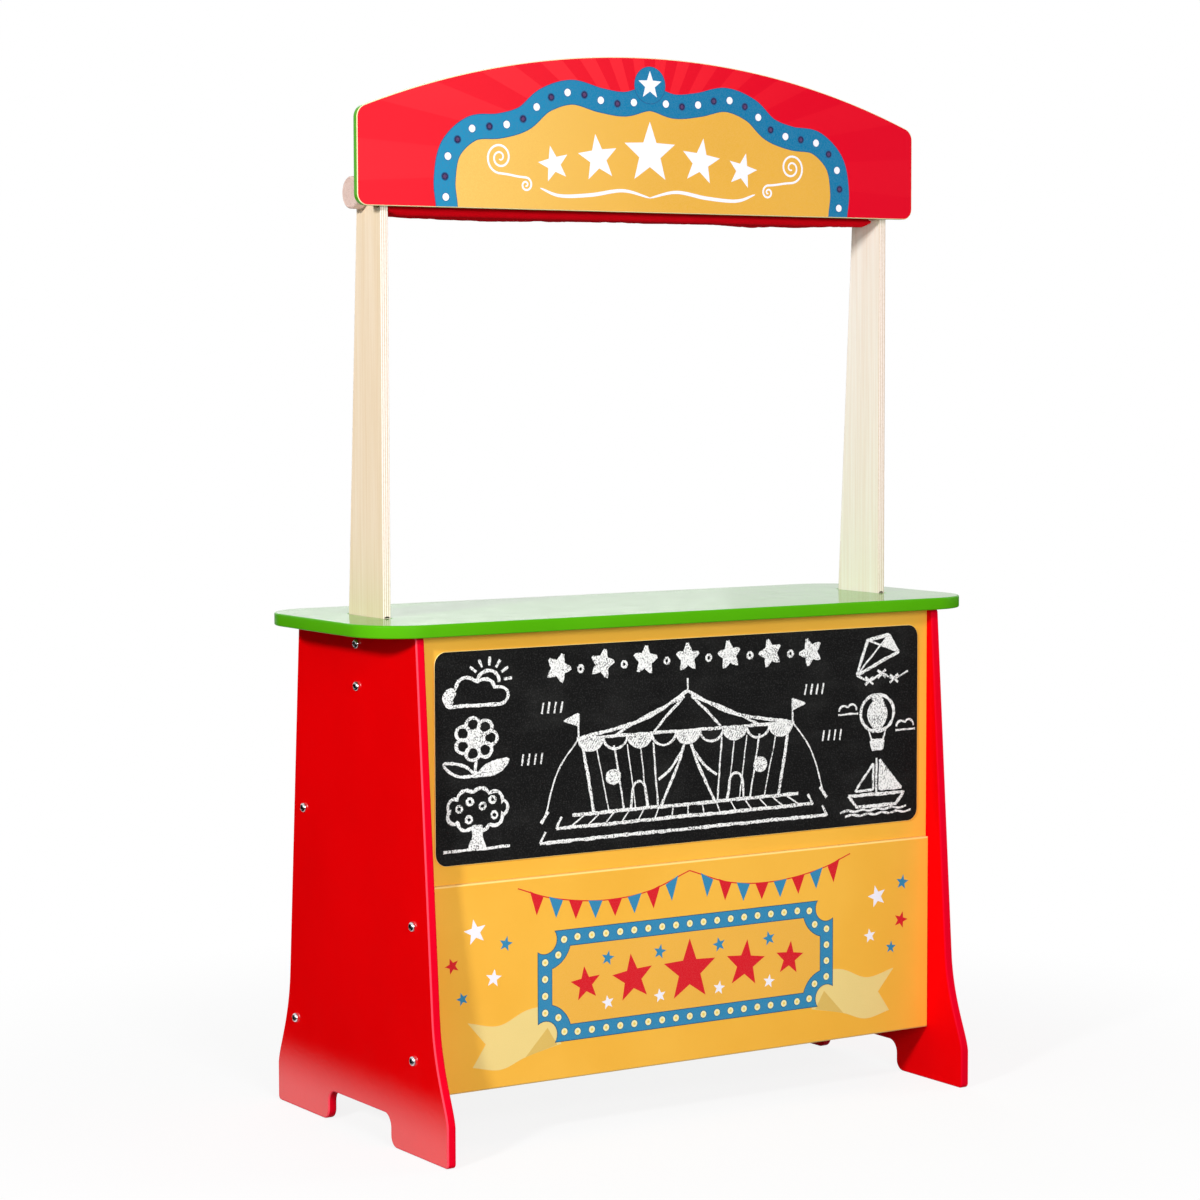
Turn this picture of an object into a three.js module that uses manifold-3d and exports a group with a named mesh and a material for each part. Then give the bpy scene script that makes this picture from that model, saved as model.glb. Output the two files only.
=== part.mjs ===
// Puppet theatre stand: a play counter on two flared side panels, with two tapering posts that pass
// through the counter and carry an arched sign board and a roller curtain.
// Millimetres, +X to the viewer's right, +Y to the back, +Z up. The origin is on the floor, midway
// between the side panels and midway along their feet.

import * as THREE from "three";
import { mergeVertices } from "three/addons/utils/BufferGeometryUtils.js";
import Module from "manifold-3d";

const wasm = await Module();
wasm.setup();

// Whole stand
const overallHeight = 1150;
const standWidth = 680;
const counterHeight = 554;

// Side panels
const sideThickness = 10;
const sideTopHalf = 130;
const sideWaistHalf = 159;
const sideFootHalf = 189.5;
const sideWaistHeight = 150;
const sideFootHeight = 42;
const sideTopRadius = 4;
const toeRadius = 5;
const flareLeaveShares = [0.13, 0.51];
const flareArriveShares = [0.92, 0.81];
const archHalfWidth = 69.5;
const archHeight = 33.5;
const archFilletRadius = 14;
const archFootRadius = 12;

// Counter
const counterSideOverhang = 52;
const counterFrontOverhang = 12;
const counterBackOverhang = 1;
const counterThickness = 13.5;
const counterCornerRadius = 60;

// Front panels
const lowerPanelThickness = 16;
const lowerPanelSetback = 2.3;
const lowerPanelBottom = 60.5;
const lowerPanelTop = 280;
const upperPanelThickness = 8;
const upperPanelStepBack = 4.7;
const boardThickness = 1.5;
const boardEase = 0.5;
const boardSideMargin = 14.4;
const boardTopMargin = 16.6;
const boardBottomMargin = 19.8;
const boardCornerRadius = 14;

// Shelves
const shelfThickness = 16;
const bottomShelfHeight = 100;
const middleShelfHeight = 336.5;
const shelfBackInset = 9;

// Posts
const postThickness = 9;
const postFrontOffset = 43.2;
const postBottomWidth = 82;
const postTopWidth = 47.5;
const postSocketDepth = 85.5;
const postTopDrop = 85;
const slotClearance = 0.4;

// Sign board and the batten behind it
const headerOverhang = 21;
const headerHeight = 167;
const headerSideHeight = 99.7;
const headerThickness = 8;
const headerLowerRadius = 12;
const headerUpperRadius = 14;
const headerBattenDepth = 11.8;
const headerBattenHeight = 20;
const headerBattenRise = 1;

// Battens under the counter and behind the upper panel
const counterBattenSize = 18;
const panelCleatSize = 15;

// Roller, knobs and curtain
const rollerRadius = 7.5;
const rollerClearance = 0.3;
const rollerRise = 15.3;
const rollerOffset = 5;
const knobRadius = 17;
const knobThickness = 14.8;
const knobRounding = 2.6;
const knobGap = 1.2;
const knobBoreDepth = 10;
const rollRadius = 24.6;
const rollEndGap = 0.8;
const rollWaveDepth = 1.5;
const rollWaveLength = 118;
const rollWaveBeatShare = 0.37;
const rollShoulder = 14;
const sheetThickness = 0.8;
const sheetRollGap = 0.5;
const sheetEndInset = 5;
const hemRadius = 4.3;
const hemBarRadius = 2.6;
const hemGap = 1.6;
const hemBarEndInset = 4;

// Machine bolts, barrel nuts and hex nuts
const boltRadius = 3;
const boltHeadRadius = 5.1;
const boltHeadHeight = 3.2;
const boltHeadCrownShare = 0.62;
const boltHeadRimShare = 0.25;
const boltSocketRadius = 2.2;
const boltSocketDepth = 1.8;
const boltTipChamfer = 0.8;
const barrelRadius = 5;
const barrelLength = 12;
const barrelInset = 22;
const boltTipReach = 8;
const nutRadius = 5.7;
const nutThickness = 5;
const postBoltDrop = 15.5;
const postBoltSpacing = 45;
const postBoltOffset = 3;
const panelBoltInset = 39.5;
const shelfBoltInset = 15.5;

// Domed bolts of the sign board
const domeRadius = 6.8;
const domeHeight = 6;
const domeShankRadius = 2.5;
const domeBoltReach = 24;
const domeBoltRise = 5.2;

// Countersunk screws and dowels
const screwRadius = 1.8;
const screwHeadRadius = 3.6;
const screwHeadDepth = 2.2;
const counterScrewReach = 8;
const headerScrewReach = 5;
const screwSpreadShare = 0.62;
const dowelRadius = 3;
const dowelInPanel = 6;
const dowelInShelf = 18;
const dowelInCounter = 8.5;
const dowelInSideTop = 16;
const shelfDowelOffset = 80;
const counterDowelInset = 35;

// Fits and fineness
const seatGap = 0.2;
const shankClearance = 0.3;
const cutOverrun = 2;
const edgeEase = 1.5;
const fineEase = 0.8;
const roundSides = 12;
const rollerSides = 24;
const hexSides = 6;
const knobRoundSteps = 3;
const arcSteps = 6;
const flareSteps = 7;
const headerArcSteps = 40;
const clothRings = 32;
const clothSides = 20;
const weldDistance = 1e-4;

// Planes that several pieces share
const sideOuter = standWidth / 2;
const sideInner = sideOuter - sideThickness;
const fitHalf = sideInner - seatGap;
const counterUnderside = counterHeight - counterThickness;
const sideTop = counterUnderside - seatGap;
const counterHalf = sideOuter + counterSideOverhang;
const counterFront = -(sideTopHalf + counterFrontOverhang);
const counterBack = sideTopHalf + counterBackOverhang;
const lowerPanelFront = -(sideTopHalf - lowerPanelSetback);
const lowerPanelBack = lowerPanelFront + lowerPanelThickness;
const upperPanelFront = lowerPanelFront + upperPanelStepBack;
const upperPanelBack = upperPanelFront + upperPanelThickness;
const upperPanelBottom = lowerPanelTop + seatGap;
const upperPanelTop = counterUnderside - seatGap;
const postOuter = fitHalf;
const postInner = postOuter - postThickness;
const postFront = -postFrontOffset;
const postBottom = counterUnderside - postSocketDepth;
const postTop = overallHeight - postTopDrop;
const headerBack = postFront - seatGap;
const headerFront = headerBack - headerThickness;
const headerBottom = overallHeight - headerHeight;
const headerHalf = sideOuter + headerOverhang;
const headerBattenFront = headerBack + seatGap;
const headerBattenBack = headerBattenFront + headerBattenDepth;
const headerBattenBottom = headerBottom + headerBattenRise;
const rollerY = -rollerOffset;
const rollerZ = headerBottom + rollerRise;
const sheetFront = rollerY - rollRadius - sheetRollGap - sheetThickness;
const hemY = sheetFront + sheetThickness / 2;
const hemTop = headerBattenBottom - hemGap;
const hemZ = hemTop - hemRadius;
const middleShelfTop = middleShelfHeight + shelfThickness / 2;
const counterBattenBottom = upperPanelTop - counterBattenSize;
const counterDowelY = sideTopHalf - counterDowelInset;
const counterBattenHalf = fitHalf - panelCleatSize;
const counterScrewPlaces = [-1, 1].map((sign) => sign * screwSpreadShare * counterBattenHalf);
const counterScrewY = upperPanelBack + seatGap + counterBattenSize / 2;
const headerBattenHalf = postInner - seatGap;
const headerScrewPlaces = [-1, 1].map((sign) => sign * screwSpreadShare * headerBattenHalf);
const headerScrewZ = headerBattenBottom + headerBattenHeight / 2;
const domeBoltY = headerBattenFront + domeRadius;
const domeBoltZ = headerBottom + domeBoltRise;

// Finishes: colour, roughness, metalness
const redPaint = { color: 0xd8060c, roughness: 0.42 };
const greenPaint = { color: 0x58b01c, roughness: 0.25 };
const yellowPaint = { color: 0xf3b440, roughness: 0.5 };
const signRed = { color: 0xee1c30, roughness: 0.5 };
const slateBlack = { color: 0x1e1e20, roughness: 0.85 };
const birchPly = { color: 0xeddcc0, roughness: 0.6 };
const pineWood = { color: 0xdcc096, roughness: 0.65 };
const beechWood = { color: 0xdcbfa8, roughness: 0.55 };
const redCloth = { color: 0x9c0016, roughness: 0.95 };
const brightSteel = { color: 0xc9c9c9, roughness: 0.25, metalness: 1 };
const bronzeMetal = { color: 0x6f5a2a, roughness: 0.35, metalness: 1 };

const theatre = new THREE.Group();

// Adds one named piece to the stand.
function add(name, geometry, finish) {
  const material = new THREE.MeshStandardMaterial({ metalness: 0, ...finish });
  const mesh = new THREE.Mesh(geometry, material);
  mesh.name = name;
  theatre.add(mesh);
}

// Turns a closed geometry into a solid that can be cut.
function solidOf(geometry) {
  const bare = geometry.clone();
  for (const extra of ["normal", "uv"]) if (bare.getAttribute(extra)) bare.deleteAttribute(extra);
  const welded = mergeVertices(bare, weldDistance);
  const triVerts = new Uint32Array(welded.index.array);
  const vertProperties = welded.attributes.position.array;
  return new wasm.Manifold(new wasm.Mesh({ numProp: 3, vertProperties, triVerts }));
}

// Cuts every geometry in the list out of the first one.
function cut(geometry, cutters) {
  let solid = solidOf(geometry);
  for (const cutter of cutters) solid = solid.subtract(solidOf(cutter));
  const { vertProperties, triVerts } = solid.getMesh();
  const result = new THREE.BufferGeometry();
  result.setAttribute("position", new THREE.BufferAttribute(vertProperties, 3));
  result.setIndex(new THREE.BufferAttribute(triVerts, 1));
  return result;
}

const alongX = new THREE.Vector3(1, 0, 0);
const alongY = new THREE.Vector3(0, 1, 0);
const alongZ = new THREE.Vector3(0, 0, 1);
const forward = alongY.clone().negate();

// Turns a geometry made about the local Y axis so that it runs along the given axis from a start point.
function aim(geometry, start, axis) {
  const turn = new THREE.Quaternion().setFromUnitVectors(alongY, axis);
  return geometry.applyQuaternion(turn).translate(start.x, start.y, start.z);
}

function at(x, y, z) {
  return new THREE.Vector3(x, y, z);
}

// A plain round bar that starts at a point and runs along an axis.
function bar(radius, length, start, axis, sides = roundSides) {
  const geometry = new THREE.CylinderGeometry(radius, radius, length, sides).translate(0, length / 2, 0);
  return aim(geometry, start, axis);
}

// The radius of a faceted bore whose flats clear a bar by the given clearance.
function boreRadius(radius, clearance, sides = roundSides) {
  return (radius + clearance) / Math.cos(Math.PI / sides);
}

function bore(radius, clearance, length, start, axis, sides = roundSides) {
  return bar(boreRadius(radius, clearance, sides), length, start, axis, sides);
}

// A turned piece from a profile of [radius, height] pairs that begins and ends on the axis.
function turned(profile, start, axis, sides = roundSides) {
  const points = profile.map(([radius, height]) => new THREE.Vector2(radius, height));
  return aim(new THREE.LatheGeometry(points, sides), start, axis);
}

function box(low, high) {
  const size = high.clone().sub(low);
  const middle = high.clone().add(low).divideScalar(2);
  return new THREE.BoxGeometry(size.x, size.y, size.z).translate(middle.x, middle.y, middle.z);
}

// Replaces each corner [x, y, radius] of an outline by an arc of that radius.
function rounded(corners) {
  const points = [];
  corners.forEach(([x, y, radius], i) => {
    const corner = new THREE.Vector2(x, y);
    if (!radius) {
      points.push(corner);
      return;
    }
    const before = corners[(i + corners.length - 1) % corners.length];
    const after = corners[(i + 1) % corners.length];
    const back = new THREE.Vector2(before[0], before[1]).sub(corner).normalize();
    const ahead = new THREE.Vector2(after[0], after[1]).sub(corner).normalize();
    const halfAngle = Math.acos(THREE.MathUtils.clamp(back.dot(ahead), -1, 1)) / 2;
    const inside = back.clone().add(ahead).normalize();
    const middle = corner.clone().addScaledVector(inside, radius / Math.sin(halfAngle));
    const tangent = radius / Math.tan(halfAngle);
    const first = corner.clone().addScaledVector(back, tangent).sub(middle).angle();
    const last = corner.clone().addScaledVector(ahead, tangent).sub(middle).angle();
    const sweep = Math.atan2(Math.sin(last - first), Math.cos(last - first));
    for (let step = 0; step <= arcSteps; step += 1) {
      const angle = first + (sweep * step) / arcSteps;
      const spoke = new THREE.Vector2(Math.cos(angle), Math.sin(angle));
      points.push(middle.clone().addScaledVector(spoke, radius));
    }
  });
  return points;
}

// Cuts a board with eased edges from an outline. The plane's axes say where the outline's x and y
// and the board's thickness point; base is where the thickness starts.
function board(outline, thickness, ease, xAxis, yAxis, base) {
  const geometry = new THREE.ExtrudeGeometry(new THREE.Shape(outline), {
    depth: thickness - 2 * ease,
    bevelEnabled: ease > 0,
    bevelThickness: ease,
    bevelSize: ease,
    bevelOffset: -ease,
    bevelSegments: 1,
  });
  const thicknessAxis = xAxis.clone().cross(yAxis);
  geometry.translate(0, 0, ease);
  geometry.applyMatrix4(new THREE.Matrix4().makeBasis(xAxis, yAxis, thicknessAxis));
  return geometry.translate(base.x, base.y, base.z);
}

// A board in the XZ plane whose front face is at the given depth.
function frontBoard(outline, thickness, ease, front) {
  return board(outline, thickness, ease, alongX, alongZ, at(0, front + thickness, 0));
}

// A board in the YZ plane that spans from x to x plus its thickness.
function sideBoard(outline, thickness, ease, x) {
  return board(outline, thickness, ease, alongY, alongZ, at(x, 0, 0));
}

function flatBoard(outline, thickness, ease, z) {
  return board(outline, thickness, ease, alongX, alongY, at(0, 0, z));
}

function rectangle(left, right, low, high, radius = 0) {
  return [
    [left, low, radius],
    [right, low, radius],
    [right, high, radius],
    [left, high, radius],
  ];
}

// The two sides of the stand: sign is -1 on the viewer's left and 1 on the right.
const hands = [
  { name: "left", sign: -1 },
  { name: "right", sign: 1 },
];

// Where the machine bolts pass through a side panel, as [y, z].
const lowerPanelMiddle = (lowerPanelFront + lowerPanelBack) / 2;
const postBoltHeights = [
  counterUnderside - postBoltDrop,
  counterUnderside - postBoltDrop - postBoltSpacing,
];
const postBoltPlaces = postBoltHeights.map((z) => [-postBoltOffset, z]);
const panelBoltPlaces = [
  [lowerPanelMiddle, lowerPanelTop - panelBoltInset],
  [lowerPanelMiddle, lowerPanelBottom + panelBoltInset],
];

// The edge of a side panel from its foot up to its top, as [half depth, height]: a flare, then a
// straight taper.
function sideEdgePoints() {
  const [arrive, leave] = [flareArriveShares, flareLeaveShares].map(
    ([out, down]) =>
      new THREE.Vector2(
        THREE.MathUtils.lerp(sideWaistHalf, sideFootHalf, out),
        THREE.MathUtils.lerp(sideWaistHeight, sideFootHeight, down),
      ),
  );
  const foot = new THREE.Vector2(sideFootHalf, sideFootHeight);
  const waist = new THREE.Vector2(sideWaistHalf, sideWaistHeight);
  const flare = new THREE.CubicBezierCurve(foot, arrive, leave, waist);
  return [...flare.getPoints(flareSteps).map(({ x, y }) => [x, y]), [sideTopHalf, sideTop]];
}

const sideEdge = sideEdgePoints();

// The half depth of a side panel at a height.
function sideHalfAt(z) {
  const above = Math.max(1, sideEdge.findIndex(([, height]) => height >= z));
  const [lowHalf, low] = sideEdge[above - 1];
  const [highHalf, high] = sideEdge[above];
  return THREE.MathUtils.mapLinear(z, low, high, lowHalf, highHalf);
}

const shelves = [
  { name: "bottom_shelf", z: bottomShelfHeight, front: lowerPanelBack },
  { name: "middle_shelf", z: middleShelfHeight, front: upperPanelBack },
].map((shelf) => {
  const back = sideHalfAt(shelf.z) - shelfBackInset;
  return { ...shelf, back, boltY: back - shelfBoltInset };
});
const shelfBoltPlaces = shelves.map(({ boltY, z }) => [boltY, z]);
const boltPlaces = [...postBoltPlaces, ...panelBoltPlaces, ...shelfBoltPlaces];

// Side panel outline in [y, z]: its two edges end in feet on each side of a low arch.
function sideOutline() {
  const rightHalf = [
    [archHalfWidth, archHeight, archFilletRadius],
    [archHalfWidth, 0, archFootRadius],
    [sideFootHalf, 0, toeRadius],
    ...sideEdge.map(([half, z], i) => [half, z, i < sideEdge.length - 1 ? 0 : sideTopRadius]),
  ];
  const leftHalf = [...rightHalf].reverse().map(([y, z, radius]) => [-y, z, radius]);
  return rounded([...rightHalf, ...leftHalf]);
}

function sidePanel({ name, sign }) {
  const panel = sideBoard(sideOutline(), sideThickness, edgeEase, sign > 0 ? sideInner : -sideOuter);
  const inward = alongX.clone().multiplyScalar(-sign);
  const outside = (y, z) => at(sign * (sideOuter + cutOverrun), y, z);
  const inside = (y, z) => at(sign * (sideInner - cutOverrun), y, z);
  const through = sideThickness + 2 * cutOverrun;
  const boltHoles = boltPlaces.map(([y, z]) =>
    bore(boltRadius, shankClearance, through, outside(y, z), inward));
  const shelfDowelHoles = shelves.map(({ z }) =>
    bore(dowelRadius, seatGap, dowelInPanel + seatGap + cutOverrun, inside(-shelfDowelOffset, z),
      inward.clone().negate()));
  const topDowelHoles = [-counterDowelY, counterDowelY].map((y) =>
    bore(dowelRadius, seatGap, dowelInSideTop + seatGap + cutOverrun,
      at(sign * (sideInner + sideOuter) / 2, y, sideTop + cutOverrun), alongZ.clone().negate()));
  add(`${name}_side_panel`, cut(panel, [...boltHoles, ...shelfDowelHoles, ...topDowelHoles]), redPaint);
}

// Post outline in [y, z]: an upright front edge and a back edge that leans forward as it rises.
function postOutline() {
  return [
    [postFront, postBottom, 0],
    [postFront + postBottomWidth, postBottom, 0],
    [postFront + postTopWidth, postTop, sideTopRadius],
    [postFront, postTop, sideTopRadius],
  ];
}

function postBackAt(z) {
  return postFront + THREE.MathUtils.mapLinear(z, postBottom, postTop, postBottomWidth, postTopWidth);
}

function post({ name, sign }) {
  const panel = sideBoard(rounded(postOutline()), postThickness, fineEase, sign > 0 ? postInner : -postOuter);
  const inward = alongX.clone().multiplyScalar(-sign);
  const outside = (y, z) => at(sign * (postOuter + cutOverrun), y, z);
  const through = postThickness + 2 * cutOverrun;
  const holes = [
    ...postBoltPlaces.map(([y, z]) => bore(boltRadius, shankClearance, through, outside(y, z), inward)),
    bore(domeShankRadius, shankClearance, through, outside(domeBoltY, domeBoltZ), inward),
    bore(rollerRadius, rollerClearance, through, outside(rollerY, rollerZ), inward, rollerSides),
  ];
  add(`${name}_post`, cut(panel, holes), birchPly);
}

// Counter with a round-ended slot around each post.
function counter() {
  const outline = rounded(
    rectangle(-counterHalf, counterHalf, counterFront, counterBack, counterCornerRadius),
  );
  const top = flatBoard(outline, counterThickness, edgeEase, counterUnderside);
  const slotHalf = postThickness / 2 + slotClearance;
  const slotBack = postBackAt(counterUnderside);
  const depth = counterThickness + 2 * cutOverrun;
  const low = counterUnderside - cutOverrun;
  const cutters = [];
  for (const { sign } of hands) {
    const x = (sign * (postOuter + postInner)) / 2;
    const [slotFront, slotEnd] = [postFront - slotClearance, slotBack + slotClearance];
    const slot = box(at(x - slotHalf, slotFront, low), at(x + slotHalf, slotEnd, low + depth));
    const ends = [slotFront, slotEnd].map((y) => bar(slotHalf, depth, at(x, y, low), alongZ));
    const dowels = [-counterDowelY, counterDowelY].map((y) =>
      bore(dowelRadius, seatGap, dowelInCounter + seatGap + cutOverrun,
        at(sign * (sideInner + sideOuter) / 2, y, low), alongZ));
    cutters.push(slot, ...ends, ...dowels);
  }
  for (const x of counterScrewPlaces) {
    cutters.push(screwHole(at(x, counterScrewY, counterBattenBottom), alongZ,
      counterBattenSize + seatGap + counterScrewReach));
  }
  add("counter_top", cut(top, cutters), greenPaint);
}

// Head first, a countersunk screw that starts at a face and runs into the wood.
function screwProfile(length, extra) {
  return [
    [0, 0],
    [screwHeadRadius + extra, 0],
    [screwRadius + extra, screwHeadDepth],
    [screwRadius + extra, length + extra],
    [0, length + extra],
  ];
}

function screw(start, axis, length) {
  return turned(screwProfile(length, 0), start, axis);
}

// The same shape with its clearance, begun above the face that it is cut through.
function screwHole(start, axis, length) {
  const profile = screwProfile(length, seatGap);
  const mouth = profile[1][0];
  return turned([[0, -cutOverrun], [mouth, -cutOverrun], ...profile.slice(1)], start, axis);
}

// A blind bore for a machine bolt in the end of a board, and the cross bore of its barrel nut, which
// opens at the face that the nut's axis leaves.
function endBoltBores(sign, y, z, nutAxis, thickness) {
  const reach = cutOverrun + barrelInset + boltTipReach + seatGap;
  const inward = alongX.clone().multiplyScalar(-sign);
  const mouth = thickness / 2 + cutOverrun;
  const start = at(sign * (fitHalf - barrelInset), y, z).addScaledVector(nutAxis, -mouth);
  return [
    bore(boltRadius, shankClearance, reach, at(sign * (fitHalf + cutOverrun), y, z), inward),
    bore(barrelRadius, seatGap, mouth + barrelLength / 2 + seatGap, start, nutAxis),
  ];
}

function lowerPanel() {
  const outline = rounded(rectangle(-fitHalf, fitHalf, lowerPanelBottom, lowerPanelTop));
  const panel = frontBoard(outline, lowerPanelThickness, edgeEase, lowerPanelFront);
  const cutters = hands.flatMap(({ sign }) =>
    panelBoltPlaces.flatMap(([y, z]) => endBoltBores(sign, y, z, forward, lowerPanelThickness)));
  add("lower_front_panel", cut(panel, cutters), yellowPaint);
}

function upperPanel() {
  const outline = rounded(rectangle(-fitHalf, fitHalf, upperPanelBottom, upperPanelTop));
  add("upper_front_panel", frontBoard(outline, upperPanelThickness, fineEase, upperPanelFront), yellowPaint);
  const slate = rounded(
    rectangle(
      -fitHalf + boardSideMargin,
      fitHalf - boardSideMargin,
      upperPanelBottom + boardBottomMargin,
      upperPanelTop - boardTopMargin,
      boardCornerRadius,
    ),
  );
  const front = upperPanelFront - boardThickness;
  add("chalkboard", frontBoard(slate, boardThickness, boardEase, front), slateBlack);
}

function shelf({ name, z, front, back, boltY }) {
  const outline = rounded(rectangle(-fitHalf, fitHalf, front + seatGap, back));
  const slab = flatBoard(outline, shelfThickness, fineEase, z - shelfThickness / 2);
  const cutters = hands.flatMap(({ sign }) => [
    ...endBoltBores(sign, boltY, z, alongZ, shelfThickness),
    bore(dowelRadius, seatGap, dowelInShelf + seatGap + cutOverrun,
      at(sign * (fitHalf + cutOverrun), -shelfDowelOffset, z), alongX.clone().multiplyScalar(-sign)),
  ]);
  add(name, cut(slab, cutters), birchPly);
}

// Sign board outline in [x, z]: upright ends under a shallow circular arch.
function headerOutline() {
  const rise = headerHeight - headerSideHeight;
  const arcRadius = (headerHalf ** 2 + rise ** 2) / (2 * rise);
  const arcCentre = overallHeight - arcRadius;
  const spread = Math.asin(headerHalf / arcRadius);
  const arch = [];
  for (let step = 1; step < headerArcSteps; step += 1) {
    const angle = THREE.MathUtils.mapLinear(step, 0, headerArcSteps, spread, -spread);
    arch.push([arcRadius * Math.sin(angle), arcCentre + arcRadius * Math.cos(angle), 0]);
  }
  const shoulder = headerBottom + headerSideHeight;
  return rounded([
    [-headerHalf, headerBottom, headerLowerRadius],
    [headerHalf, headerBottom, headerLowerRadius],
    [headerHalf, shoulder, headerUpperRadius],
    ...arch,
    [-headerHalf, shoulder, headerUpperRadius],
  ]);
}

function header() {
  const sign = frontBoard(headerOutline(), headerThickness, fineEase, headerFront);
  const screwLength = headerBattenDepth + seatGap + headerScrewReach;
  const holes = headerScrewPlaces.map((x) =>
    screwHole(at(x, headerBattenBack, headerScrewZ), forward, screwLength));
  add("header_board", cut(sign, holes), signRed);
  const batten = box(
    at(-headerBattenHalf, headerBattenFront, headerBattenBottom),
    at(headerBattenHalf, headerBattenBack, headerBattenBottom + headerBattenHeight),
  );
  const boltBores = hands.map(({ sign: side }) =>
    bore(domeShankRadius, shankClearance, domeBoltReach + cutOverrun + seatGap,
      at(side * (headerBattenHalf + cutOverrun), domeBoltY, domeBoltZ),
      alongX.clone().multiplyScalar(-side)));
  add("header_batten", cut(batten, [...holes, ...boltBores]), pineWood);
  hands.forEach(({ name }, i) => {
    const start = at(headerScrewPlaces[i], headerBattenBack, headerScrewZ);
    add(`${name}_header_screw`, screw(start, forward, screwLength), brightSteel);
  });
}

// The batten that holds the upper panel's top edge to the counter, and the cleats at its ends.
function battens() {
  const front = upperPanelBack + seatGap;
  const length = counterBattenSize + seatGap + counterScrewReach;
  const batten = box(
    at(-fitHalf, front, counterBattenBottom),
    at(fitHalf, front + counterBattenSize, counterBattenBottom + counterBattenSize),
  );
  const holes = counterScrewPlaces.map((x) =>
    screwHole(at(x, counterScrewY, counterBattenBottom), alongZ, length));
  add("counter_batten", cut(batten, holes), pineWood);
  hands.forEach(({ name, sign }, i) => {
    const xs = [sign * fitHalf, sign * (fitHalf - panelCleatSize)].sort((a, b) => a - b);
    const cleat = box(
      at(xs[0], front, middleShelfTop + seatGap),
      at(xs[1], front + panelCleatSize, counterBattenBottom - seatGap),
    );
    add(`${name}_panel_cleat`, cleat, pineWood);
    const start = at(counterScrewPlaces[i], counterScrewY, counterBattenBottom);
    add(`${name}_counter_screw`, screw(start, alongZ, length), brightSteel);
  });
}

// A button-head machine bolt whose head seats on the face at its start point.
function machineBolt(start, axis, length) {
  const rim = boltHeadHeight * boltHeadRimShare;
  const crown = boltHeadRadius * boltHeadCrownShare;
  const bolt = turned(
    [
      [0, -boltHeadHeight],
      [crown, -boltHeadHeight],
      [(crown + boltHeadRadius) / 2, -boltHeadHeight + rim / 2],
      [boltHeadRadius, -rim],
      [boltHeadRadius, 0],
      [boltRadius, 0],
      [boltRadius, length - boltTipChamfer],
      [boltRadius - boltTipChamfer, length],
      [0, length],
    ],
    start,
    axis,
  );
  const mouth = start.clone().addScaledVector(axis, -boltHeadHeight - cutOverrun);
  return cut(bolt, [bar(boltSocketRadius, boltSocketDepth + cutOverrun, mouth, axis, hexSides)]);
}

function fasteners({ name, sign }) {
  const inward = alongX.clone().multiplyScalar(-sign);
  const seat = (y, z) => at(sign * (sideOuter + seatGap), y, z);
  const endReach = sideOuter + seatGap - (fitHalf - barrelInset - boltTipReach);
  const nutFace = postInner - seatGap;
  const postReach = sideOuter + seatGap - (nutFace - nutThickness - boltTipChamfer);
  postBoltPlaces.forEach(([y, z], i) => {
    add(`${name}_post_bolt_${i + 1}`, machineBolt(seat(y, z), inward, postReach), brightSteel);
    const start = at(sign * nutFace, y, z);
    const hex = bar(nutRadius, nutThickness, start, inward, hexSides);
    const back = start.clone().addScaledVector(inward, -cutOverrun);
    const thread = bore(boltRadius, seatGap, nutThickness + 2 * cutOverrun, back, inward);
    add(`${name}_post_nut_${i + 1}`, cut(hex, [thread]), brightSteel);
  });
  const ends = [
    ...panelBoltPlaces.map(([y, z], i) => ({ label: `panel_${i + 1}`, y, z, nutAxis: forward })),
    ...shelves.map((s) => ({ label: s.name, y: s.boltY, z: s.z, nutAxis: alongZ })),
  ];
  for (const { label, y, z, nutAxis } of ends) {
    add(`${name}_${label}_bolt`, machineBolt(seat(y, z), inward, endReach), brightSteel);
    const start = at(sign * (fitHalf - barrelInset), y, z).addScaledVector(nutAxis, -barrelLength / 2);
    const barrel = bar(barrelRadius, barrelLength, start, nutAxis);
    const back = at(sign * (fitHalf - barrelInset + barrelRadius + cutOverrun), y, z);
    const thread = bore(boltRadius, seatGap, 2 * (barrelRadius + cutOverrun), back, inward);
    add(`${name}_${label}_barrel_nut`, cut(barrel, [thread]), brightSteel);
  }
  for (const { name: shelfName, z } of shelves) {
    const start = at(sign * (sideInner + dowelInPanel), -shelfDowelOffset, z);
    const length = dowelInPanel + dowelInShelf;
    add(`${name}_${shelfName}_dowel`, bar(dowelRadius, length, start, inward), beechWood);
  }
  [-counterDowelY, counterDowelY].forEach((y, i) => {
    const start = at((sign * (sideInner + sideOuter)) / 2, y, sideTop - dowelInSideTop);
    const length = dowelInSideTop + seatGap + dowelInCounter;
    add(`${name}_counter_dowel_${i + 1}`, bar(dowelRadius, length, start, alongZ), beechWood);
  });
}

// The domed bolt that ties a post to the end of the batten behind the sign board.
function domeBolt({ name, sign }) {
  const length = postOuter + seatGap - headerBattenHalf + domeBoltReach;
  const profile = [];
  for (let step = 0; step <= arcSteps; step += 1) {
    const angle = (Math.PI / 2) * (step / arcSteps);
    profile.push([domeRadius * Math.sin(angle), -domeHeight * Math.cos(angle)]);
  }
  profile.push([domeShankRadius, 0], [domeShankRadius, length], [0, length]);
  const start = at(sign * (postOuter + seatGap), domeBoltY, domeBoltZ);
  add(`${name}_header_bolt`, turned(profile, start, alongX.clone().multiplyScalar(-sign)), bronzeMetal);
}

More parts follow.
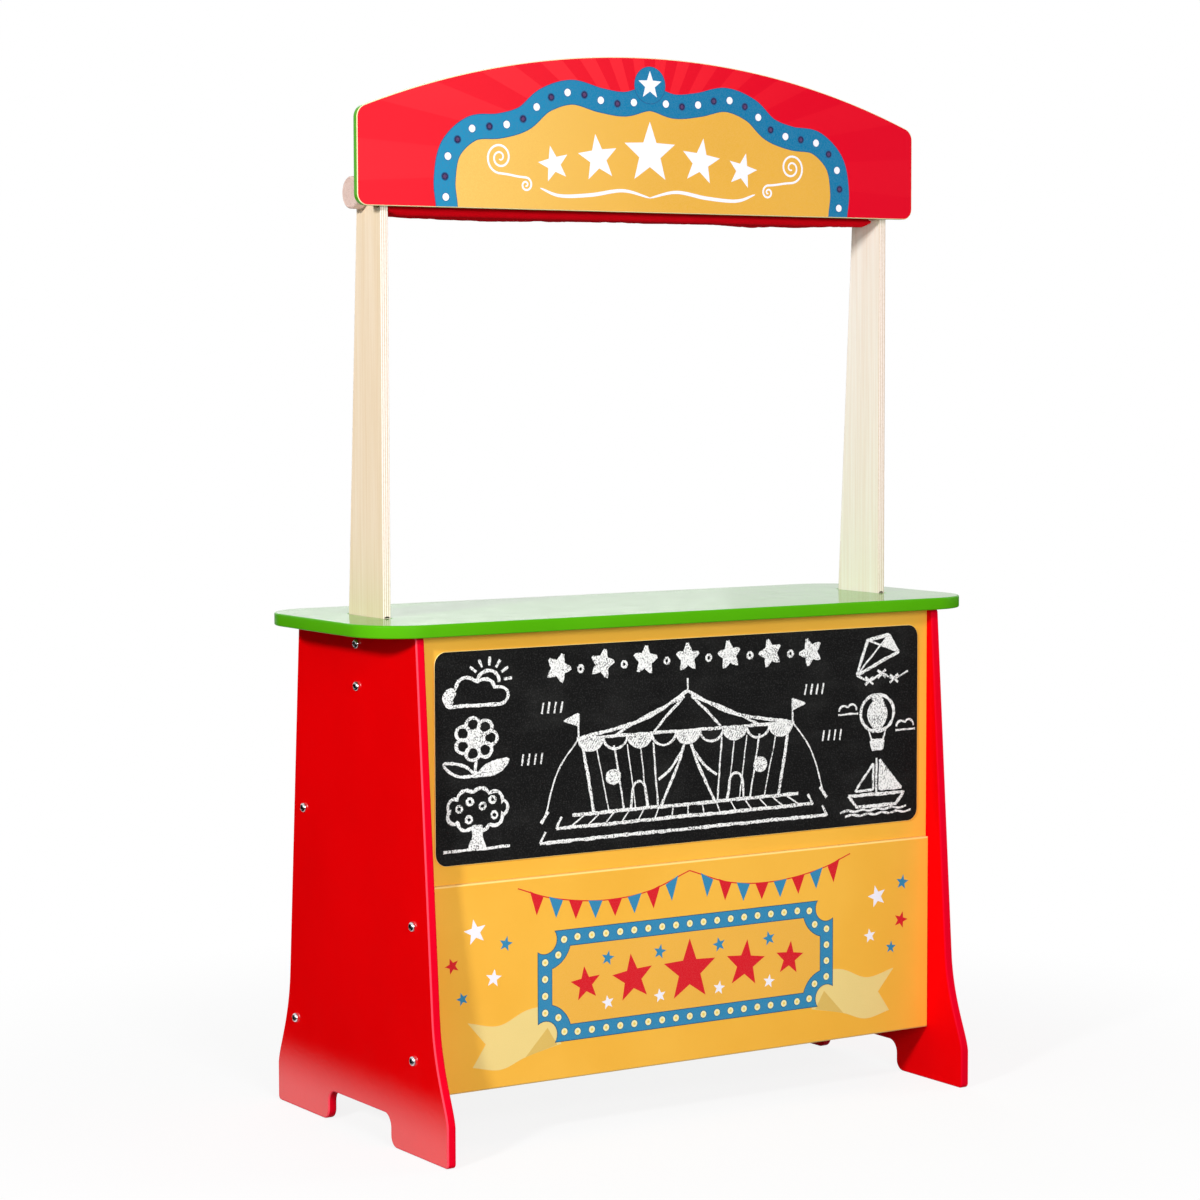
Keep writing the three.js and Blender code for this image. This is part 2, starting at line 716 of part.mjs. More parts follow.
// The roller turns in the two posts; a knob is glued on each end.
function roller() {
  const half = postOuter + knobGap + knobBoreDepth - seatGap;
  const end = at(-half, rollerY, rollerZ);
  add("curtain_roller", bar(rollerRadius, 2 * half, end, alongX, rollerSides), beechWood);
  for (const { name, sign } of hands) {
    const outward = alongX.clone().multiplyScalar(sign);
    const start = at(sign * (postOuter + knobGap), rollerY, rollerZ);
    const profile = [[0, 0]];
    const corners = [
      [knobRadius - knobRounding, knobRounding, -Math.PI / 2],
      [knobRadius - knobRounding, knobThickness - knobRounding, 0],
    ];
    for (const [x, y, from] of corners) {
      for (let step = 0; step <= knobRoundSteps; step += 1) {
        const angle = from + (Math.PI / 2) * (step / knobRoundSteps);
        profile.push([x + knobRounding * Math.cos(angle), y + knobRounding * Math.sin(angle)]);
      }
    }
    profile.push([0, knobThickness]);
    const blind = bore(rollerRadius, seatGap / 2, knobBoreDepth + cutOverrun,
      start.clone().addScaledVector(outward, -cutOverrun), outward, rollerSides);
    add(`${name}_knob`, cut(turned(profile, start, outward, rollerSides), [blind]), beechWood);
  }
}

// The wound cloth: a sleeve whose outer radius sinks in soft waves and narrows at its ends.
function woundRadius(x, angle, half) {
  const turn = (2 * Math.PI) / rollWaveLength;
  const wave = (1 + Math.sin(turn * x + 2 * angle) * Math.cos(turn * rollWaveBeatShare * x - angle)) / 2;
  const shoulder = Math.exp(-(half - Math.abs(x)) / rollShoulder);
  return rollRadius - rollWaveDepth * (wave * (1 - shoulder) + shoulder);
}

function woundCloth() {
  const half = postInner - rollEndGap;
  const positions = [];
  const indices = [];
  const coreRadius = boreRadius(rollerRadius, seatGap, clothSides);
  const addRing = (x, radiusAt) => {
    for (let side = 0; side < clothSides; side += 1) {
      const angle = (2 * Math.PI * side) / clothSides;
      const radius = radiusAt(angle);
      positions.push(x, rollerY + radius * Math.cos(angle), rollerZ + radius * Math.sin(angle));
    }
  };
  for (let ring = 0; ring <= clothRings; ring += 1) {
    const x = THREE.MathUtils.mapLinear(ring, 0, clothRings, -half, half);
    addRing(x, (angle) => woundRadius(x, angle, half));
  }
  addRing(half, () => coreRadius);
  addRing(-half, () => coreRadius);
  const ringCount = clothRings + 3;
  for (let ring = 0; ring < ringCount; ring += 1) {
    const next = (ring + 1) % ringCount;
    for (let side = 0; side < clothSides; side += 1) {
      const beside = (side + 1) % clothSides;
      const [a, b] = [ring * clothSides + side, ring * clothSides + beside];
      const [c, d] = [next * clothSides + side, next * clothSides + beside];
      indices.push(a, b, d, a, d, c);
    }
  }
  const geometry = new THREE.BufferGeometry();
  geometry.setAttribute("position", new THREE.Float32BufferAttribute(positions, 3));
  geometry.setIndex(indices);
  add("curtain_roll", geometry, redCloth);
}

// The free end of the curtain: a short hanging sheet, its sewn hem and the bar inside the hem.
function curtainEnd() {
  const half = postInner - rollEndGap - sheetEndInset;
  add("curtain_sheet", box(at(-half, sheetFront, hemTop + seatGap),
    at(half, sheetFront + sheetThickness, rollerZ)), redCloth);
  const hem = bar(hemRadius, 2 * half, at(-half, hemY, hemZ), alongX);
  const pocketHalf = half + cutOverrun;
  const pocket = bore(hemBarRadius, seatGap, 2 * pocketHalf, at(-pocketHalf, hemY, hemZ), alongX);
  add("curtain_hem", cut(hem, [pocket]), redCloth);
  const barHalf = half - hemBarEndInset;
  add("hem_bar", bar(hemBarRadius, 2 * barHalf, at(-barHalf, hemY, hemZ), alongX), beechWood);
}

hands.forEach(sidePanel);
counter();
lowerPanel();
upperPanel();
shelves.forEach(shelf);
battens();
hands.forEach(post);
header();
hands.forEach(fasteners);
hands.forEach(domeBolt);
roller();
woundCloth();
curtainEnd();

export default theatre;
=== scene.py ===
"""The looks of a puppet theatre stand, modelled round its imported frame.

Lengths are metres in the stand's own frame: +X to the viewer's right, +Y to the back, +Z up,
with the origin on the floor midway between the side panels.
"""

import logging
import math
import random
from dataclasses import dataclass, field
from enum import Enum
from itertools import pairwise
from typing import Any, Callable, ClassVar, Sequence

import bmesh
import bpy
from mathutils import Matrix, Vector, noise


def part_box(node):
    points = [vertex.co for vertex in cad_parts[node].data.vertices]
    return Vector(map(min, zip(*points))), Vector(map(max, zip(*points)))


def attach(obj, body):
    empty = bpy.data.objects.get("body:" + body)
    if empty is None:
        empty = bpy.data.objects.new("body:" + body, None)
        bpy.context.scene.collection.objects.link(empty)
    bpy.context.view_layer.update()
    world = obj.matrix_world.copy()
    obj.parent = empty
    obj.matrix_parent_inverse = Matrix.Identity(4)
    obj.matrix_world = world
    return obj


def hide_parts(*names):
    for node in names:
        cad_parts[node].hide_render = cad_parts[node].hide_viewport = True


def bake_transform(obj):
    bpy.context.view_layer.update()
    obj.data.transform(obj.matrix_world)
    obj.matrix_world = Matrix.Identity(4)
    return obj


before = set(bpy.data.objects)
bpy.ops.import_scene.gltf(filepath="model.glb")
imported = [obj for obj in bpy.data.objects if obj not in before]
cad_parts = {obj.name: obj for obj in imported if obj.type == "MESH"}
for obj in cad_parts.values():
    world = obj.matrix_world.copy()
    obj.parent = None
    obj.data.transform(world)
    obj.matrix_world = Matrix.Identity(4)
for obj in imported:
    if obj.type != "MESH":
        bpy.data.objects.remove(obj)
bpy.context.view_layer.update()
SIDES = {"left": -1, "right": 1}
WELD = 1e-6
EAST = Vector((1, 0, 0))
log = logging.getLogger("puppet_theatre")

Point = tuple[float, float]
Colour = tuple[float, float, float]
WHITE: Colour = (1.0, 1.0, 1.0)
BLACK: Colour = (0.0, 0.0, 0.0)


def srgb(red: int, green: int, blue: int) -> Colour:
    """Returns the linear form of a colour whose parts run from 0 to 255."""
    parts = (part / 255 for part in (red, green, blue))
    return tuple(p / 12.92 if p < 0.04 else ((p + 0.055) / 1.055) ** 2.4 for p in parts)


# ---- materials


class Wire:
    """A value in a node tree, on which Python arithmetic adds Math nodes."""

    def __init__(self, tree: "Tree", socket: bpy.types.NodeSocket) -> None:
        """Holds the tree that the value belongs to and the socket that it leaves."""
        self.tree = tree
        self.socket = socket

    def _math(self, operation: str, *values: Any) -> "Wire":
        """Returns the result of a Math node on the values."""
        return self.tree.node("Math", {"operation": operation}, dict(enumerate(values)))

    def __add__(self, other: Any) -> "Wire":
        """Returns self + other."""
        return self._math("ADD", self, other)

    def __sub__(self, other: Any) -> "Wire":
        """Returns self - other."""
        return self._math("SUBTRACT", self, other)

    def __rsub__(self, other: Any) -> "Wire":
        """Returns other - self."""
        return self._math("SUBTRACT", other, self)

    def __mul__(self, other: Any) -> "Wire":
        """Returns self * other."""
        return self._math("MULTIPLY", self, other)

    def __truediv__(self, other: Any) -> "Wire":
        """Returns self / other."""
        return self._math("DIVIDE", self, other)

    __radd__ = __add__
    __rmul__ = __mul__

    def size(self) -> "Wire":
        """Returns the value without its sign."""
        return self._math("ABSOLUTE", self)

    def fraction(self) -> "Wire":
        """Returns what is left of the value above the next whole number below."""
        return self._math("FRACT", self)

    def step(self, low: float, high: float) -> "Wire":
        """Returns a smooth step from 0 at low to 1 at high."""
        sockets = {"Value": self, "From Min": low, "From Max": high}
        return self.tree.node("MapRange", {"interpolation_type": "SMOOTHSTEP"}, sockets)


class Space(Enum):
    """The coordinates that a pattern follows."""

    OBJECT = "Object"
    CLOTH = "UV"


class Tree:
    """A node tree, whose nodes all come from one method."""

    def __init__(self, owner: bpy.types.ID) -> None:
        """Opens the node tree of a new material or world."""
        owner.use_nodes = True
        self.graph = owner.node_tree

    def node(
        self, kind: str, settings: dict | None = None, sockets: dict | None = None, output: Any = 0
    ) -> Wire:
        """Adds a node.

        Args:
            kind: The node's type without its prefix.
            settings: Its options, set first.
            sockets: Values or wires of its inputs, by name or number.
            output: The name or number of the output to return.

        Returns:
            The wire of that output.
        """
        prefix = "ShaderNodeTex" if kind in ("Noise", "Voronoi") else "ShaderNode"
        made = self.graph.nodes.new(prefix + kind)
        for option, value in (settings or {}).items():
            setattr(made, option, value)
        for key, value in (sockets or {}).items():
            self.plug(made.inputs[key], value)
        return Wire(self, made.outputs[output])

    def plug(self, socket: bpy.types.NodeSocket, value: Any) -> None:
        """Links a wire to a socket, or sets a plain value or colour on it.

        Args:
            socket: The input.
            value: A wire, a number or a colour.
        """
        if isinstance(value, Wire):
            self.graph.links.new(value.socket, socket)
        elif socket.type == "RGBA":
            socket.default_value = (*value, 1)
        else:
            socket.default_value = value

    def show(self, shader: Wire) -> None:
        """Makes a shader the tree's result."""
        end = next(node for node in self.graph.nodes if node.type.startswith("OUTPUT"))
        self.plug(end.inputs["Surface"], shader)


class Paint(Tree):
    """A procedural material while it is being mixed."""

    def __init__(self, name: str, space: Space = Space.OBJECT) -> None:
        """Starts the material with its shader, and with the coordinates of its patterns.

        Args:
            name: The material's name.
            space: The coordinates that its patterns follow.
        """
        self.material = bpy.data.materials.new(name)
        super().__init__(self.material)
        self.shader = self.graph.nodes["Principled BSDF"]
        self.place = self.node("TexCoord", output=space.value)

    def set(self, **sockets: Any) -> None:
        """Sets the shader's sockets, whose names are written with low lines for spaces."""
        for key, value in sockets.items():
            name = key.replace("_", " ").title().replace("Ior", "IOR")
            self.plug(self.shader.inputs[name], value)

    def stretched(self, scale: Sequence[float]) -> Wire:
        """Returns the coordinates scaled along each axis."""
        return self.node("Mapping", sockets={"Vector": self.place, "Scale": scale})

    def noise(self, scale: float, detail: float = 2, place: Wire | None = None) -> Wire:
        """Returns a noise of that scale, centred on a half."""
        sockets = {"Vector": place or self.place, "Scale": scale, "Detail": detail}
        return self.node("Noise", sockets=sockets)

    def axis(self, name: str, vector: Wire | None = None) -> Wire:
        """Returns one coordinate of the place or of another vector."""
        return self.node("SeparateXYZ", sockets={0: vector or self.place}, output=name)

    def mixed(self, share: Any, first: Any, second: Any) -> Wire:
        """Returns a colour between two, by the share of the second."""
        return self.node("Mix", {"data_type": "RGBA"}, {0: share, 6: first, 7: second}, 2)

    def relief(self, height: Wire, depth: float) -> None:
        """Gives the surface a relief of that depth in metres."""
        sockets = {"Strength": 1.0, "Distance": depth, "Height": height}
        self.set(normal=self.node("Bump", sockets=sockets))


@dataclass(frozen=True)
class Finish:
    """A finish of the stand, with the record's slot that it belongs to."""

    name: str
    slot: str
    space: ClassVar[Space] = Space.OBJECT

    def material(self) -> bpy.types.Material:
        """Returns the finish's material, mixed when it is first asked for.

        Returns:
            The material.
        """
        known = bpy.data.materials.get(self.name)
        if known:
            return known
        paint = Paint(self.name, self.space)
        self.mix(paint)
        return paint.material

    def mix(self, paint: Paint) -> None:
        """Mixes the finish into a paint."""
        raise NotImplementedError


@dataclass(frozen=True)
class Lacquer(Finish):
    """A sprayed coat on smooth board, with a trace of ripple and of dust in it."""

    colour: Colour
    shade: Colour
    roughness: float = 0.35
    specular: float = 0.06
    coat: float = 0.0
    ripple: float = 0.00006

    def tint(self, paint: Paint) -> Wire:
        """Returns the coat's colour over the surface."""
        cloud = paint.noise(7.0, 3).step(0.25, 0.75)
        return paint.mixed(cloud, self.colour, self.shade)

    def mix(self, paint: Paint) -> None:
        """Mixes the coat.

        Args:
            paint: The paint to mix it into.
        """
        wear = paint.noise(38.0, 5)
        paint.set(base_color=self.tint(paint), roughness=self.roughness + (wear - 0.5) * 0.12)
        paint.set(coat_weight=self.coat, coat_roughness=0.05, specular_ior_level=self.specular)
        paint.relief(paint.noise(260.0, 2), self.ripple)


@dataclass(frozen=True)
class EdgedLacquer(Lacquer):
    """A coat with another colour past a plane: an unprinted edge, or a painted highlight along an
    arris.
    """

    edge: Colour = WHITE
    axis: str = "Y"
    start: float = 0.0
    border: float = 0.00015

    def tint(self, paint: Paint) -> Wire:
        """Returns the coat's colour and, past the plane, the edge's.

        Args:
            paint: The paint to mix it into.

        Returns:
            The colour.
        """
        place = paint.axis(self.axis)
        depth = place.size() if self.axis == "X" else place
        share = depth.step(self.start, self.start + self.border)
        return paint.mixed(share, super().tint(paint), self.edge)


@dataclass(frozen=True)
class SunburstLacquer(Lacquer):
    """A coat with rays of two shades about a point of the sign's front."""

    centre: Point = (0.0, 1.03)
    rays: int = 26
    painted_sheen: Colour = WHITE

    def tint(self, paint: Paint) -> Wire:
        """Returns the rays' colour, paled towards the left end by a painted sheen.

        Args:
            paint: The paint to mix it into.

        Returns:
            The colour.
        """
        across = paint.axis("X") - self.centre[0]
        up = paint.axis("Z") - self.centre[1]
        angle = paint.node("Math", {"operation": "ARCTAN2"}, {0: up, 1: across})
        turn = (angle * (self.rays / math.tau)).fraction()
        edge = (turn - 0.5).size() - 0.25
        contrast = 0.34 + up.step(0.02, 0.11) * 0.3
        # painted shade: the pale rays fade out towards the right end, which darkens that end
        fresh = 0.2 + (0.24 - across).step(0.0, 0.36) * 0.8
        rays = paint.mixed(edge.step(-0.012, 0.012) * contrast * fresh, self.colour, self.shade)
        # painted sheen: the colour pales towards the left end
        return paint.mixed((0.36 - across).step(0.1, 0.72) * 0.3, rays, self.painted_sheen)


class Grain(Enum):
    """The way that the fibres of a wooden piece run, as noise scales along X, Y and Z."""

    ALONG_X = (7.0, 300.0, 300.0)
    ALONG_Z = (300.0, 300.0, 7.0)


@dataclass(frozen=True)
class Timber(Finish):
    """Planed or turned wood under a thin clear coat."""

    light: Colour
    dark: Colour
    grain: Grain
    figure: float = 0.35
    flecks: float = 0.0
    roughness: float = 0.5

    def mix(self, paint: Paint) -> None:
        """Mixes long fibres, slow figure and short dark flecks.

        Args:
            paint: The paint to mix it into.
        """
        fibres = paint.noise(1.0, 6, paint.stretched(self.grain.value))
        slow = [part * 0.13 for part in self.grain.value]
        figure = paint.noise(1.0, 4, paint.stretched(slow))
        share = fibres.step(0.3, 0.72) * 0.5 + figure.step(0.4, 0.68) * self.figure
        colour = self.edged(paint, paint.mixed(share, self.light, self.dark))
        if self.flecks:
            spots = paint.noise(950.0, 2).step(0.58, 0.68) * self.flecks
            colour = paint.mixed(spots, colour, [part * 0.62 for part in self.dark])
        paint.set(base_color=colour, roughness=self.roughness + (fibres - 0.5) * 0.2)
        paint.set(specular_ior_level=0.12)
        paint.relief(fibres, 0.0001)

    def edged(self, paint: Paint, colour: Wire) -> Wire:
        """Returns the colour with that of the cut edges added."""
        return colour


@dataclass(frozen=True)
class PlySheet(Timber):
    """Plywood that lies flat, whose cut edges show its layers."""

    start: float = 0.0
    layer: float = 0.001

    def edged(self, paint: Paint, colour: Wire) -> Wire:
        """Returns the colour with the layers on upright faces.

        Args:
            paint: The paint to mix it into.
            colour: The colour of the level faces.

        Returns:
            The colour of all faces.
        """
        facing = paint.axis("Z", paint.node("NewGeometry", output="Normal")).size()
        fray = (paint.noise(240.0, 4) - 0.5) * 0.3
        depth = (paint.axis("Z") - self.start) / (2 * self.layer) + fray
        bands = (depth.fraction() - 0.5).size().step(0.22, 0.32)
        layers = paint.mixed(bands * 0.7, self.light, [part * 0.72 for part in self.dark])
        return paint.mixed(facing.step(0.2, 0.6), layers, colour)


@dataclass(frozen=True)
class PlyEdge(Finish):
    """The cut edge of plywood: thin light and dark layers through the thickness."""

    light: Colour
    dark: Colour
    axis: str
    start: float
    layer: float

    def mix(self, paint: Paint) -> None:
        """Mixes the layers, with fibres that fray their borders.

        Args:
            paint: The paint to mix it into.
        """
        fray = (paint.noise(240.0, 4) - 0.5) * 0.35
        depth = (paint.axis(self.axis).size() - self.start) / (2 * self.layer) + fray * 0.5
        bands = (depth.fraction() - 0.5).size().step(0.26, 0.36)
        share = bands * 0.7 + paint.noise(420.0, 3).step(0.35, 0.8) * 0.2
        paint.set(base_color=paint.mixed(share, self.light, self.dark), roughness=0.6)
        paint.set(specular_ior_level=0.1)
        paint.relief(share, 0.00012)


@dataclass(frozen=True)
class Ink(Finish):
    """One printed colour, with the faint grain of a print, which may pale towards the left with a
    painted sheen.
    """

    colour: Colour
    roughness: float = 0.4
    painted_sheen: Colour | None = None

    def mix(self, paint: Paint) -> None:
        """Mixes the ink.

        Args:
            paint: The paint to mix it into.
        """
        grain = paint.noise(900.0, 2).step(0.3, 0.7)
        paler = [part + (1 - part) * 0.045 for part in self.colour]
        cloud = paint.noise(12.0, 2).step(0.2, 0.8)
        shade = [part * 0.95 for part in self.colour]
        base = paint.mixed(cloud, self.colour, shade)
        # painted sheen: the ink pales towards the left end
        if self.painted_sheen:
            share = (0.08 - paint.axis("X")).step(0.0, 0.38)
            base = paint.mixed(share, base, self.painted_sheen)
        paint.set(base_color=paint.mixed(grain * 0.6, base, paler), roughness=self.roughness)
        paint.set(specular_ior_level=0.06)
        paint.relief(paint.noise(260.0, 2), 0.00004)


@dataclass(frozen=True)
class SlatePaint(Finish):
    """Matt black board paint with wiped chalk dust."""

    colour: Colour
    dust: Colour

    def mix(self, paint: Paint) -> None:
        """Mixes clouds, wipe marks and a fine tooth.

        Args:
            paint: The paint to mix it into.
        """
        cloud = paint.noise(16.0, 6).step(0.46, 0.74)
        wipes = paint.noise(1.0, 5, paint.stretched((18.0, 18.0, 60.0))).step(0.5, 0.8)
        tooth = paint.noise(620.0, 3)
        share = cloud * 0.16 + wipes * 0.14 + tooth.step(0.48, 0.72) * 0.4
        paint.set(base_color=paint.mixed(share, self.colour, self.dust), roughness=0.72)
        paint.set(specular_ior_level=0.03)
        paint.relief(tooth, 0.00005)


@dataclass(frozen=True)
class Chalk(Finish):
    """White chalk that skips over the board's tooth."""

    colour: Colour
    ground: Colour

    def mix(self, paint: Paint) -> None:
        """Mixes chalk with specks of the board between it.

        Args:
            paint: The paint to mix it into.
        """
        grain = paint.noise(620.0, 4).step(0.36, 0.52)
        thin = paint.noise(70.0, 3).step(0.36, 0.62)
        share = 1 - (1 - grain) * (1 - thin * 0.55)
        paint.set(base_color=paint.mixed(share, self.ground, self.colour), roughness=0.95)
        paint.set(specular_ior_level=0.05)
        paint.relief(grain, 0.00015)


@dataclass(frozen=True)
class Metal(Finish):
    """Plated steel with fine turning marks and dull patches."""

    colour: Colour
    dull: Colour
    roughness: float

    def mix(self, paint: Paint) -> None:
        """Mixes the plating.

        Args:
            paint: The paint to mix it into.
        """
        patch = paint.noise(300.0, 4).step(0.35, 0.75)
        marks = paint.noise(1.0, 2, paint.stretched((3000.0, 500.0, 500.0)))
        paint.set(base_color=paint.mixed(patch, self.colour, self.dull), metallic=1.0)
        paint.set(roughness=self.roughness + patch * 0.15 + (marks - 0.5) * 0.1)
        paint.relief(marks, 0.00001)


@dataclass(frozen=True)
class Velvet(Finish):
    """Dense short-piled cloth, brushed lighter in places, over a fine weave."""

    colour: Colour
    sheen: Colour
    thread: float = 0.0009
    space: ClassVar[Space] = Space.CLOTH

    def mix(self, paint: Paint) -> None:
        """Mixes pile, brushed patches and the weave's relief.

        Args:
            paint: The paint to mix it into.
        """
        brushed = paint.noise(26.0, 4).step(0.3, 0.75)
        pile = paint.noise(1400.0, 2)
        share = brushed * 0.36 + pile.step(0.4, 0.75) * 0.3
        sockets = {"Vector": paint.place, "Scale": 1 / self.thread}
        cells = paint.node("Voronoi", sockets=sockets, output="Distance")
        paint.set(base_color=paint.mixed(share, self.colour, self.sheen), roughness=0.9)
        paint.set(sheen_weight=0.12, sheen_roughness=0.4, sheen_tint=(0.8, 0.04, 0.06))
        paint.set(specular_ior_level=0.04)
        paint.relief(cells * 0.5 + pile * 0.4, 0.0002)


def inks(slot: str, prefix: str, **colours: tuple[int, int, int]) -> dict[str, Ink]:
    """Returns the inks of one print by name."""
    return {name: Ink(f"{prefix}{name}_ink", slot, srgb(*parts)) for name, parts in colours.items()}


def pine(name: str, grain: Grain) -> Timber:
    """Returns planed pine whose fibres run one way."""
    return Timber(name, "pine", srgb(228, 198, 150), srgb(196, 152, 98), grain, 0.6)


# One red lacquer in two copies: the outer faces' copy has a brighter colour set to match how they
# are lit, which is painted light, and a strong gloss.
RED_INNER = Lacquer("red_side_lacquer", "red_lacquer", srgb(240, 1, 8), srgb(232, 0, 5), 0.34, 0.01)
RED_OUTER = Lacquer("red_outer_lacquer", "red_lacquer", srgb(248, 0, 5), srgb(240, 0, 4), 0.1, 0.75)
GREEN_TOP = Lacquer(
    "green_counter_top", "green_lacquer", srgb(88, 172, 16), srgb(82, 166, 12), 0.1, 0.13,
    ripple=0.00001,
)
GREEN_EDGE = Lacquer(
    "green_counter_edge", "green_lacquer", srgb(84, 174, 13), srgb(78, 166, 9), 0.3
)
SIGN_GREEN = Lacquer("green_sign_edge", "sign_lacquer", srgb(88, 176, 24), srgb(80, 168, 22), 0.3)
# The sunburst and the blue and yellow sign inks pale towards the left end: a painted sheen.
SIGN_RED = SunburstLacquer(
    "red_sunburst", "sign_lacquer", srgb(222, 6, 36), srgb(250, 44, 56), 0.36,
    painted_sheen=srgb(250, 64, 70),
)
SIGN_CREAM = Ink("sign_cream_edge", "sign_lacquer", srgb(244, 226, 176), 0.5)
BIRCH = Timber(
    "birch_face", "birch_plywood", srgb(255, 246, 236), srgb(242, 223, 204), Grain.ALONG_Z, 0.3
)
# a darker, warmer copy of the birch for the left post only: painted shade
BIRCH_SHADED = Timber(
    "shaded_birch_face", "birch_plywood", srgb(245, 226, 200), srgb(232, 206, 168), Grain.ALONG_Z, 0.3
)
# dark ink for the painted shadow at each post's foot
FOOT_SHADOW_INK = Ink("painted_foot_shadow", "birch_plywood", srgb(46, 44, 20), 0.9)
BEECH = Timber(
    "turned_beech", "beech", srgb(239, 212, 201), srgb(223, 189, 177), Grain.ALONG_X, 0.3, 0.55
)
SLATE = SlatePaint("slate_paint", "chalkboard_face", srgb(20, 20, 20), srgb(62, 62, 61))
SLATE_RIM = Ink("slate_rim", "chalkboard_face", srgb(255, 224, 140), 0.5)
CHALK = Chalk("white_chalk", "chalkboard_face", srgb(246, 246, 244), srgb(70, 70, 70))
STEEL = Metal("zinc_plate", "zinc_steel", srgb(214, 214, 216), srgb(176, 178, 182), 0.16)
# darker steel for the inside of bolt sockets: painted shade
SOCKET_SHADE = Metal("painted_socket_shade", "zinc_steel", srgb(58, 56, 56), srgb(36, 34, 34), 0.5)
BRONZE = Metal("bronze_plate", "bronze_finish", srgb(126, 102, 52), srgb(84, 64, 30), 0.24)
VELVET = Velvet("curtain_velvet", "curtain_cloth", srgb(204, 1, 16), srgb(222, 8, 28))
SIGN_INKS = inks(
    "sign_lacquer", "", deep_blue=(28, 92, 140), navy=(36, 34, 78), plum=(84, 56, 100),
    white=(244, 243, 250),
)
# the second colour of each ink is a painted sheen towards the left end
for hue, fresh, pale in (
    ("blue", (12, 116, 161), (36, 141, 184)), ("yellow", (229, 173, 66), (237, 195, 104))
):
    SIGN_INKS[hue] = Ink(f"{hue}_ink", "sign_lacquer", srgb(*fresh), painted_sheen=srgb(*pale))
PANEL_INKS = inks(
    "yellow_lacquer", "panel_", blue=(46, 134, 178), deep_blue=(28, 84, 116),
    cream=(246, 236, 178), gold=(238, 206, 104), red=(216, 16, 32), white=(243, 241, 250),
    ribbon=(238, 212, 134), yellow=(240, 180, 68), fold=(222, 186, 96),
)


# ---- outlines


def arc(centre: Point, radius: float, start: float, end: float, steps: int) -> list[Point]:
    """Returns points of an arc.

    Args:
        centre: The arc's centre.
        radius: Its radius.
        start: Its first angle in radians.
        end: Its last angle in radians.
        steps: How many chords it has.

    Returns:
        The points from the first angle to the last.
    """
    angles = (start + (end - start) * step / steps for step in range(steps + 1))
    return [(centre[0] + radius * math.cos(a), centre[1] + radius * math.sin(a)) for a in angles]


def rounded(corners: Sequence[tuple[float, float, float]], steps: int = 14) -> list[Point]:
    """Rounds the corners of a closed outline.

    Args:
        corners: Each corner's place and radius.
        steps: How many chords each rounded corner has.

    Returns:
        The rounded outline's points.
    """
    points: list[Point] = []
    for i, (x, y, radius) in enumerate(corners):
        corner = Vector((x, y))
        if not radius:
            points.append((x, y))
            continue
        back = (Vector(corners[i - 1][:2]) - corner).normalized()
        ahead = (Vector(corners[(i + 1) % len(corners)][:2]) - corner).normalized()
        half = back.angle(ahead) / 2
        middle = corner + (back + ahead).normalized() * radius / math.sin(half)
        reach = radius / math.tan(half)
        first, last = ((corner + way * reach - middle) for way in (back, ahead))
        start, end = (math.atan2(spoke.y, spoke.x) for spoke in (first, last))
        sweep = math.remainder(end - start, math.tau)
        points += arc(tuple(middle), radius, start, start + sweep, steps)
    return points


def rectangle(left: float, right: float, low: float, high: float, radius: float) -> list[Point]:
    """Returns the outline of a rectangle with round corners."""
    corners = [(left, low), (right, low), (right, high), (left, high)]
    return rounded([(x, y, radius) for x, y in corners])


def smooth_path(knots: Sequence[Point], steps: int = 10) -> list[Point]:
    """Returns an open curve that passes smoothly through the knots.

    Args:
        knots: The points to pass through.
        steps: How many chords lie between two knots.

    Returns:
        The curve's points.
    """
    points = [Vector(knot) for knot in knots]
    points = [2 * points[0] - points[1], *points, 2 * points[-1] - points[-2]]
    path: list[Point] = []
    for before, start, end, after in zip(points, points[1:], points[2:], points[3:]):
        for step in range(steps):
            t = step / steps
            spot = 2 * start + (end - before) * t
            spot += (2 * before - 5 * start + 4 * end - after) * t * t
            spot += (3 * start - before - 3 * end + after) * t**3
            path.append(tuple(spot / 2))
    return [*path, tuple(knots[-1])]


def offset_path(path: Sequence[Point], distance: float) -> list[Point]:
    """Returns an open path moved to the left of its way, whose ends move level on a base line.

    Args:
        path: The path's points.
        distance: How far it moves.

    Returns:
        The moved points.
    """
    moved = []
    for i, point in enumerate(path):
        before, after = path[max(i - 1, 0)], path[min(i + 1, len(path) - 1)]
        way = (Vector(after) - Vector(before)).normalized()
        if i in (0, len(path) - 1):
            way = Vector((0, math.copysign(1, way.y)))
        moved.append((point[0] - way.y * distance, point[1] + way.x * distance))
    return moved


def spaced(path: Sequence[Point], spacing: float, first: float = 0.0) -> list[Point]:
    """Returns points along a path, a near even distance apart.

    Args:
        path: The path's points.
        spacing: The wished distance, which is adjusted to fit.
        first: How far from each end the first and last point lie.

    Returns:
        The points.
    """
    lengths = [math.dist(a, b) for a, b in pairwise(path)]
    total = sum(lengths) - 2 * first
    count = max(1, round(total / spacing))
    spots = []
    for i in range(count + 1):
        left = first + total * i / count
        for (a, b), length in zip(pairwise(path), lengths):
            if left <= length + WELD:
                break
            left -= length
        share = min(1.0, left / length)
        spots.append((a[0] + (b[0] - a[0]) * share, a[1] + (b[1] - a[1]) * share))
    return spots


